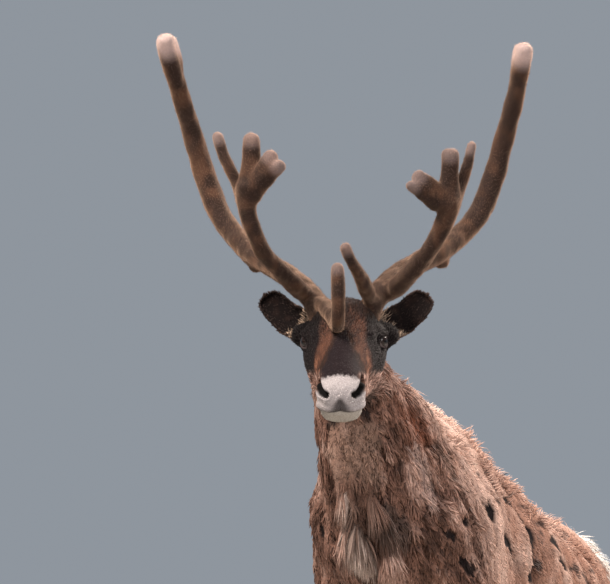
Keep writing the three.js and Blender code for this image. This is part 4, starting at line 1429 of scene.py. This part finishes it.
# Antlers in the skull's frame: out, back, up from the eyes, then radius. The beam has a fork at its tip and a
# knob behind it, the bez branch is a shaft with fingers, and the brow tine is one piece.
beam = {
    "right": [(46, 40, 42, 26), (60, 70, 80, 27), (93, 130, 120, 25), (142, 200, 158, 26),
              (194, 260, 192, 26), (237, 310, 238, 25), (275, 340, 298, 25), (304, 350, 380, 24),
              (329, 332, 464, 22), (351, 296, 540, 21), (367, 264, 594, 21), (376, 240, 634, 20)],
    "left": [(46, 40, 42, 26), (60, 70, 86, 27), (93, 130, 132, 25), (139, 200, 168, 26),
             (189, 260, 200, 26), (232, 310, 240, 25), (270, 340, 292, 25), (300, 350, 370, 24),
             (323, 332, 450, 22), (342, 296, 522, 21), (353, 264, 574, 21), (361, 240, 612, 20)],
}
tipFork = {"right": [(354, 302, 570, 15), (361, 284, 612, 16), (366, 280, 636, 15)],
           "left": [(344, 300, 552, 15), (348, 282, 592, 16), (350, 278, 616, 15)]}
rearKnob = {"right": (190, 270, 172), "left": (190, 278, 180)}
bezShaft = {
    "right": [(76, 98, 100, 19), (92, 58, 104, 21), (120, 18, 132, 20), (152, -20, 164, 19),
              (172, -45, 198, 19), (187, -60, 240, 19), (191, -66, 272, 22), (190, -72, 302, 27)],
    "left": [(76, 98, 100, 19), (100, 60, 106, 21), (132, 20, 134, 21), (167, -20, 172, 20),
             (193, -45, 210, 20), (208, -60, 244, 22), (210, -68, 268, 26)],
}
fingers = {
    "right": [
        ([(197, -52, 272, 16), (216, -44, 318, 14), (238, -42, 366, 13), (252, -40, 404, 13)], 1.0),
        ([(191, -68, 288, 27), (184, -74, 345, 21), (181, -78, 396, 19)], 0.66),
        ([(184, -72, 286, 27), (158, -86, 326, 23), (141, -96, 360, 17)], 0.66),
        ([(172, -78, 298, 24), (143, -94, 324, 20), (124, -104, 339, 16)], 0.66),
    ],
    "left": [
        ([(218, -54, 258, 16), (236, -46, 306, 14), (250, -42, 352, 13), (257, -40, 382, 13)], 1.0),
        ([(210, -66, 268, 27), (212, -72, 318, 21), (215, -78, 364, 20)], 0.66),
        ([(204, -70, 266, 26), (172, -84, 296, 24), (150, -96, 318, 18)], 0.66),
        ([(190, -76, 266, 24), (158, -92, 288, 20), (135, -104, 298, 15)], 0.66),
    ],
}
browTine = {
    "right": [(54, 62, 74, 18), (40, 18, 68, 19), (22, -42, 44, 18), (10, -90, 22, 17), (7, -119, 50, 16.5),
              (8, -126, 92, 16), (9, -124, 132, 15)],
    "left": [(56, 64, 74, 17), (51, 30, 86, 17), (36, -20, 118, 16), (21, -50, 146, 15), (5, -70, 178, 14)],
}
antlerLook = {"voxel": 3.5, "flat": 0.86, "ridge": 1.3, "nap": 1.5, "caps": (10, 13), "knob": 17}


def antlerUnwrap(points):
    # beam and tines are strips side by side: along each one up its strip, round it across the strip
    at = (points - eyesPlace) @ skullTurn
    spot, nearest = np.zeros((len(at), 2)), np.full(len(at), 1e9)
    lines = []
    for side, name in rightLeft:
        branches = [beam[name], tipFork[name], bezShaft[name], browTine[name]]
        branches += [rows for rows, _ in fingers[name]]
        lines += [np.array(mirrored(rows, side), float) for rows in branches]
    for i, line in enumerate(lines):
        gap, t = distanceToLine(at, line[:, :3])
        way = unit(between(line, t + 1e-3) - between(line, t - 1e-3))[:, :3]
        across = unit([1.0, 0, 0] - way * way[:, :1])
        off = at - between(line, t)[:, :3]
        over = np.cross(across, way)
        share = turnShare(np.einsum("ij,ij->i", off, across), np.einsum("ij,ij->i", off, over))
        here = np.stack([(i + 0.06 + 0.88 * share) / len(lines), t], -1)
        spot = np.where((gap < nearest)[:, None], here, spot)
        nearest = np.minimum(gap, nearest)
    return spot


def rounded(rows, flat, thin):
    # rows with a radius as rows of ovalBody, flattened, and thinner by the nap's depth
    return [(x, y, z, r - thin, (r - thin) * flat, (r - thin) * flat) for x, y, z, r in rows]


# dark brown, warmer in patches, and greyish pink at the tips: the growing velvet's own colour and painted
# light on the tops
velvetPaint = {"dark": "#2b1d18", "warm": "#634432", "tip": "#bba29b", "vein": "#1d1411"}
velvetTone = {key: linear(code) for key, code in velvetPaint.items()}


def tipness(points, name, side):
    # 1 at the growing end of the beam, less at the ends of the tines
    ends = [(beam[name][-1], 0.95, 34), (tipFork[name][-1], 0.95, 34), (browTine[name][-1], 0.3, 16)]
    ends += [(rows[-1], 0.34, 18) for rows, _ in fingers[name]]
    local = ((points - eyesPlace) @ skullTurn) * [side, 1, 1]
    grown = [most * (1 - ramp(np.linalg.norm(local - np.array(end[:3]), axis=1), reach * 0.5, reach * 1.6))
             for end, most, reach in ends]
    return np.max(grown, axis=0)


def antlerColour(points, name, side):
    grain = wobble(points, 22, 91)
    fineGrain = wobble(points * [1, 1, 0.4], 7, 92)
    colour = plain(points, velvetTone["dark"])
    colour = mixed(colour, velvetTone["warm"], 0.55 * ramp(grain, -0.2, 0.9))
    colour = mixed(colour, velvetTone["vein"], 0.5 * ramp(fineGrain, 0.2, 0.9))
    # greyish pink towards the tips: the growing velvet's colour and painted light on the tops
    return mixed(colour, velvetTone["tip"], tipness(points, name, side))


def upwards(points):
    return plain(points, [0.0, 0.0, 1.0])


# The nap's tips are painted 2.2 times paler than the velvet under them: painted light along the velvet's
# edges, where the fuzz catches it.
napLook = {
    "count": 22000, "length": 2.6, "width": 1.0, "lift": 1.5, "rings": 1, "swirl": 0.5, "stray": 0.4,
    "droop": 0.15, "swirlSize": 30, "variety": 0.15, "rootShade": 0.9, "tipShade": 2.2, "way": upwards,
}
for side, name in rightLeft:
    branches = [(beam[name], antlerLook["flat"], 120, 32), (tipFork[name], 1, 30, 24),
                (bezShaft[name], 0.9, 60, 28), (browTine[name], 1, 60, 28)]
    branches += [(rows, flat, 30, 26) for rows, flat in fingers[name]]
    parts = []
    for rows, flat, rings, sides in branches:
        rows = mirrored(rounded(rows, flat, antlerLook["nap"]), side)
        parts.append(ovalBody(rows, rings, sides, antlerLook["caps"]))
    knob = antlerLook["knob"]
    parts.append(ovalBody(mirrored(ballRows(rearKnob[name], knob), side), 4, 24, (knob, knob)))
    piece = newPiece("antler_" + name + "_velvet", *merged([(fromSkull(p), f) for p, f in parts]))
    remeshed(piece, antlerLook["voxel"])
    places = relaxed(pointsOf(piece), edgesOf(piece), 8)
    movePoints(piece, places)
    lumps = 1.8 * wobble(places, 34, 93) + antlerLook["ridge"] * wobble(places * [1, 1, 0.3], 11, 94)
    movePoints(piece, places + normalsOf(piece) * lumps[:, None])
    paint(piece, antlerColour(pointsOf(piece), name, side))
    piece.data.materials.append(velvet)
    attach(piece, "root")
    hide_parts(*["antler_%s_%s" % (name, part) for part in
                         ("beam_lower", "beam_upper", "bez", "bez_outer_tine", "brow_tine")])
    roots = scattered(skinSampler(piece), everywhere, napLook["count"], 210 + (side > 0))
    tuftPiece("nap_antler_" + name, roots, napLook, 220 + (side > 0), "antler", velvet)
print("antlers done")

# Eyes: a dark wet ball with a horizontal pupil, which bulges in front as the cornea does
eyeLook = {
    "white": "#2a1a12", "iris": "#24140c", "pupil": "#050404", "pupilLong": 0.36, "pupilHigh": 0.16,
    "bulge": 0.06,
}


def eyeMaterial():
    # Wet eye: near black brown iris under a smooth tear film
    material = newMaterial("wet dark eye")
    tint = addNode(material, "ShaderNodeAttribute", attribute_name="tint")
    surface = addNode(material, "ShaderNodeBsdfPrincipled", {"Base Color": tint.outputs["Color"]},
                      {"Roughness": 0.08, "IOR": 1.376, "Specular IOR Level": 0.35, "Coat Weight": 0.35,
                       "Coat Roughness": 0.03})
    addNode(material, "ShaderNodeOutputMaterial", {"Surface": surface.outputs["BSDF"]})
    return material


eyeWet = eyeMaterial()
for side, name in rightLeft:
    centre = np.array([eye["out"] * side, eye["back"], eye["up"]])
    caps = (eye["radius"] * 0.98,) * 2
    ballPoints, ballFaces = ovalBody(ballRows(centre, eye["radius"]), 2, 48, caps, domeRings=22)
    out, long, high = eyeAxes(side)
    away = ballPoints - centre
    bulge = 1 + eyeLook["bulge"] * ramp(unit(away) @ out, 0.72, 0.98)
    ballPoints = centre + away * bulge[:, None]
    piece = newPiece("eye_" + name + "_ball", fromFace(ballPoints), ballFaces)
    away = unit(toFace(pointsOf(piece)) - centre)
    along, over, ahead = away @ long, away @ high, away @ out
    iris = 1 - ramp(np.hypot(along, over), 0.62, 0.68)
    pupil = 1 - ramp(np.hypot(along / eyeLook["pupilLong"], over / eyeLook["pupilHigh"]), 0.9, 1.1)
    colour = plain(away, linear(eyeLook["white"]))
    colour = mixed(colour, linear(eyeLook["iris"]), iris * (ahead > 0))
    colour = mixed(colour, linear(eyeLook["pupil"]), pupil * (ahead > 0))
    paint(piece, colour)
    piece.data.materials.append(eyeWet)
    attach(piece, "root")
    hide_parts("eye_" + name)
print("eyes done")

# Hooves and dewclaws
toe = {"wide": 50, "long": 100, "high": 62, "apart": 4, "lean": 18, "crescent": 7, "heelDrop": 0.3}
dewclaw = {"out": 26, "back": 56, "up": 74}
hornLook = {
    "dark": "#171415", "pale": "#4a423d", "roughness": 0.5, "ior": 1.54, "rings": 60.0, "wear": 90.0,
    "depth": 0.0006,
}


def hornMaterial():
    # Hoof horn: keratin, dull black, with fine growth rings round it
    material = newMaterial("hoof horn")
    place = addNode(material, "ShaderNodeTexCoord")
    rings = addNode(material, "ShaderNodeTexWave", {"Vector": place.outputs["Object"]},
                    {"Scale": hornLook["rings"], "Distortion": 2.5, "Detail": 3.0, "Detail Scale": 2.0},
                    bands_direction="Z")
    wear = addNode(material, "ShaderNodeTexNoise", {"Vector": place.outputs["Object"]},
                   {"Scale": hornLook["wear"], "Detail": 5.0, "Roughness": 0.65})
    dark, pale = four(linear(hornLook["dark"])), four(linear(hornLook["pale"]))
    colour = addNode(material, "ShaderNodeMix", {0: wear.outputs["Fac"]}, {6: dark, 7: pale},
                     data_type="RGBA")
    height = addNode(material, "ShaderNodeMath", {0: rings.outputs["Fac"], 1: wear.outputs["Fac"]},
                     operation="ADD")
    relief = addNode(material, "ShaderNodeBump", {"Height": height.outputs["Value"]},
                     {"Distance": hornLook["depth"], "Strength": 0.6})
    surface = addNode(material, "ShaderNodeBsdfPrincipled",
                      {"Base Color": colour.outputs[2], "Normal": relief.outputs["Normal"]},
                      {"Roughness": hornLook["roughness"], "IOR": hornLook["ior"]})
    addNode(material, "ShaderNodeOutputMaterial", {"Surface": surface.outputs["BSDF"]})
    return material


horn = hornMaterial()


def toeShape(x, y, turn):
    # Ovals from the sole up, with up from 0 at the sole to 1 at the coronet. Width and length shrink by 0.3
    # of it, and the middle leans back with it. The front half narrows by 0.4 sin squared, the inner side is
    # flatter, and the top edge is rolled in.
    outline, levels = 64, 30
    rise = np.concatenate([[0, 0.01, 0.03], np.linspace(0.06, 1, levels - 4), [1.02]])
    wall = 1 - 0.16 * ramp(np.linspace(0, 1, levels - 4), 0.45, 1)
    pull = np.concatenate([[0.94, 0.975, 0.995], wall, [0.7]])
    angle = 2 * np.pi * np.arange(outline) / outline
    c, s = np.cos(angle)[None, :], np.sin(angle)[None, :]
    up = np.minimum(rise, 1)[:, None]
    pointed = np.where(s < 0, 1 - 0.4 * s * s, 1)
    inner = np.where(c * turn < 0, 0.72, 1)
    across = c * toe["wide"] * 0.5 * (1 - 0.3 * up) * pointed * inner * pull[:, None]
    along = s * toe["long"] * 0.5 * (1 - 0.3 * up) * pull[:, None] + toe["lean"] * up - toe["long"] * 0.12
    # the tip bends inwards like a crescent, and the coronet drops towards the heel
    across = across - turn * toe["crescent"] * np.maximum(-s, 0) ** 2 * (1 - 0.5 * up)
    height = np.where(rise < 0.005, 0, rise)[:, None] * toe["high"] * (1 - toe["heelDrop"] * (s + 1) / 2)
    grid = np.stack([x + across + turn * (toe["wide"] * 0.36 + toe["apart"]), y + along, height], -1)
    return closedRings(grid, [grid[0].mean(0), grid[-1].mean(0)])


def dewclawShape(x, y, turn):
    # a blunt drop that hangs behind the foot; a row is out, back, up and its oval, from the dewclaw's place
    rows = [(-9, -32, 14, 13, 12, 12), (0, -12, -4, 15, 14, 12), (2, -4, -28, 11, 9, 8)]
    x, y, z = x + turn * dewclaw["out"], y + dewclaw["back"], dewclaw["up"]
    rows = [(x + turn * out, y + back, z + up, *oval) for out, back, up, *oval in rows]
    return ovalBody(rows, 24, 24, (4, 8))


for side, name in rightLeft:
    for label, rows, step in (("fore", foreLeg, foreStep), ("hind", hindLeg, hindStep)):
        x, y = mirrored(stepped(rows, step[name]), side)[-1][:2]
        for turn in (-1, 1):
            where = "outer" if turn * side > 0 else "inner"
            for part, shape in (("hoof", toeShape), ("dewclaw", dewclawShape)):
                partPoints, partFaces = shape(x, y, turn)
                node = "%s_%s_%s_%s" % (part, label, name, where)
                piece = newPiece(node + "_horn", partPoints + withersAt, partFaces)
                piece.data.materials.append(horn)
                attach(piece, "root")
                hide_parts(node)
print("hooves done")

# Camera at the photograph's angle: it stands off the trunk's axis on the animal's left and looks up a little.
# Focal length, frame width and how far the eyes are from the frame's middle are in the photograph's pixels.
cameraLook = {
    "off": 22.0, "up": 4.5, "distance": 12000.0, "focal": 6000.0, "frameWide": 610.0, "sensor": 36.0,
    "eyeRight": 39.0, "eyeBelow": 47.7,
}
off, raised = math.radians(cameraLook["off"]), math.radians(cameraLook["up"])
rightWay = np.array([math.cos(off), math.sin(off), 0])
lookWay = np.array([-math.sin(off) * math.cos(raised), math.cos(off) * math.cos(raised), math.sin(raised)])
upWay = np.cross(rightWay, lookWay)
perPixel = cameraLook["distance"] / cameraLook["focal"]
target = eyesPlace - rightWay * cameraLook["eyeRight"] * perPixel
target = target + upWay * cameraLook["eyeBelow"] * perPixel
standing = target - lookWay * cameraLook["distance"]
view = bpy.data.cameras.new("camera")
view.sensor_width = cameraLook["sensor"]
view.lens = cameraLook["focal"] / cameraLook["frameWide"] * cameraLook["sensor"]
view.clip_end = 100
cameraPiece = bpy.data.objects.new("camera", view)
bpy.context.scene.collection.objects.link(cameraPiece)
axes = np.stack([rightWay, upWay, -lookWay], 1)
cameraPiece.matrix_world = Matrix.Translation(Vector(standing * millimetre)) @ Matrix(axes.tolist()).to_4x4()
bpy.context.scene.camera = cameraPiece

# Floor and light
floorLook = {"half": 90000, "under": 1, "colour": "#a3a19d"}  # millimetres; just under the soles
floorCorners = np.array([(-1, -1, 0), (1, -1, 0), (1, 1, 0), (-1, 1, 0)]) * floorLook["half"]
floorFace = np.array([[0, 1, 2, 3]])
floor = newPiece("floor", floorCorners - [0, 0, floorLook["under"]], [floorFace], smooth=False)
floorPaint = newMaterial("pale floor")
floorSurface = addNode(floorPaint, "ShaderNodeBsdfPrincipled",
                       inputs={"Base Color": four(linear(floorLook["colour"])), "Roughness": 0.9})
addNode(floorPaint, "ShaderNodeOutputMaterial", {"Surface": floorSurface.outputs["BSDF"]})
floor.data.materials.append(floorPaint)

worldLook = {"colour": "#d3dde9", "strength": 0.42}
world = bpy.data.worlds.new("studio")
world.use_nodes = True
background = world.node_tree.nodes["Background"]
background.inputs["Color"].default_value = four(linear(worldLook["colour"]))
background.inputs["Strength"].default_value = worldLook["strength"]
bpy.context.scene.world = world


def softLamp(name, place, aim, size, power, colour):
    # a round area light at a place in metres, turned towards its aim
    lamp = bpy.data.lights.new(name, "AREA")
    lamp.shape = "DISK"
    lamp.size = size
    lamp.energy = power
    lamp.color = [float(v) for v in linear(colour)]
    piece = bpy.data.objects.new(name, lamp)
    bpy.context.scene.collection.objects.link(piece)
    way = Vector(aim) - Vector(place)
    piece.matrix_world = Matrix.Translation(place) @ way.to_track_quat("-Z", "Y").to_matrix().to_4x4()


lampLook = {
    "key": {"place": (-1.5, -2.8, 4.9), "aim": (0, -0.4, 1.2), "size": 2.2, "power": 390,
            "colour": "#fff5ec"},
    "fill": {"place": (4.6, -4.2, 2.6), "aim": (0, -0.4, 1.1), "size": 2.6, "power": 170,
             "colour": "#fbf8f8"},
    "back": {"place": (2.2, 3.4, 4.6), "aim": (0, -0.3, 1.3), "size": 2.2, "power": 520,
             "colour": "#fff1e6"},
}
for name, look in lampLook.items():
    softLamp(name, **look)
bpy.context.scene.view_settings.view_transform = "Standard"
print("camera and lights done")
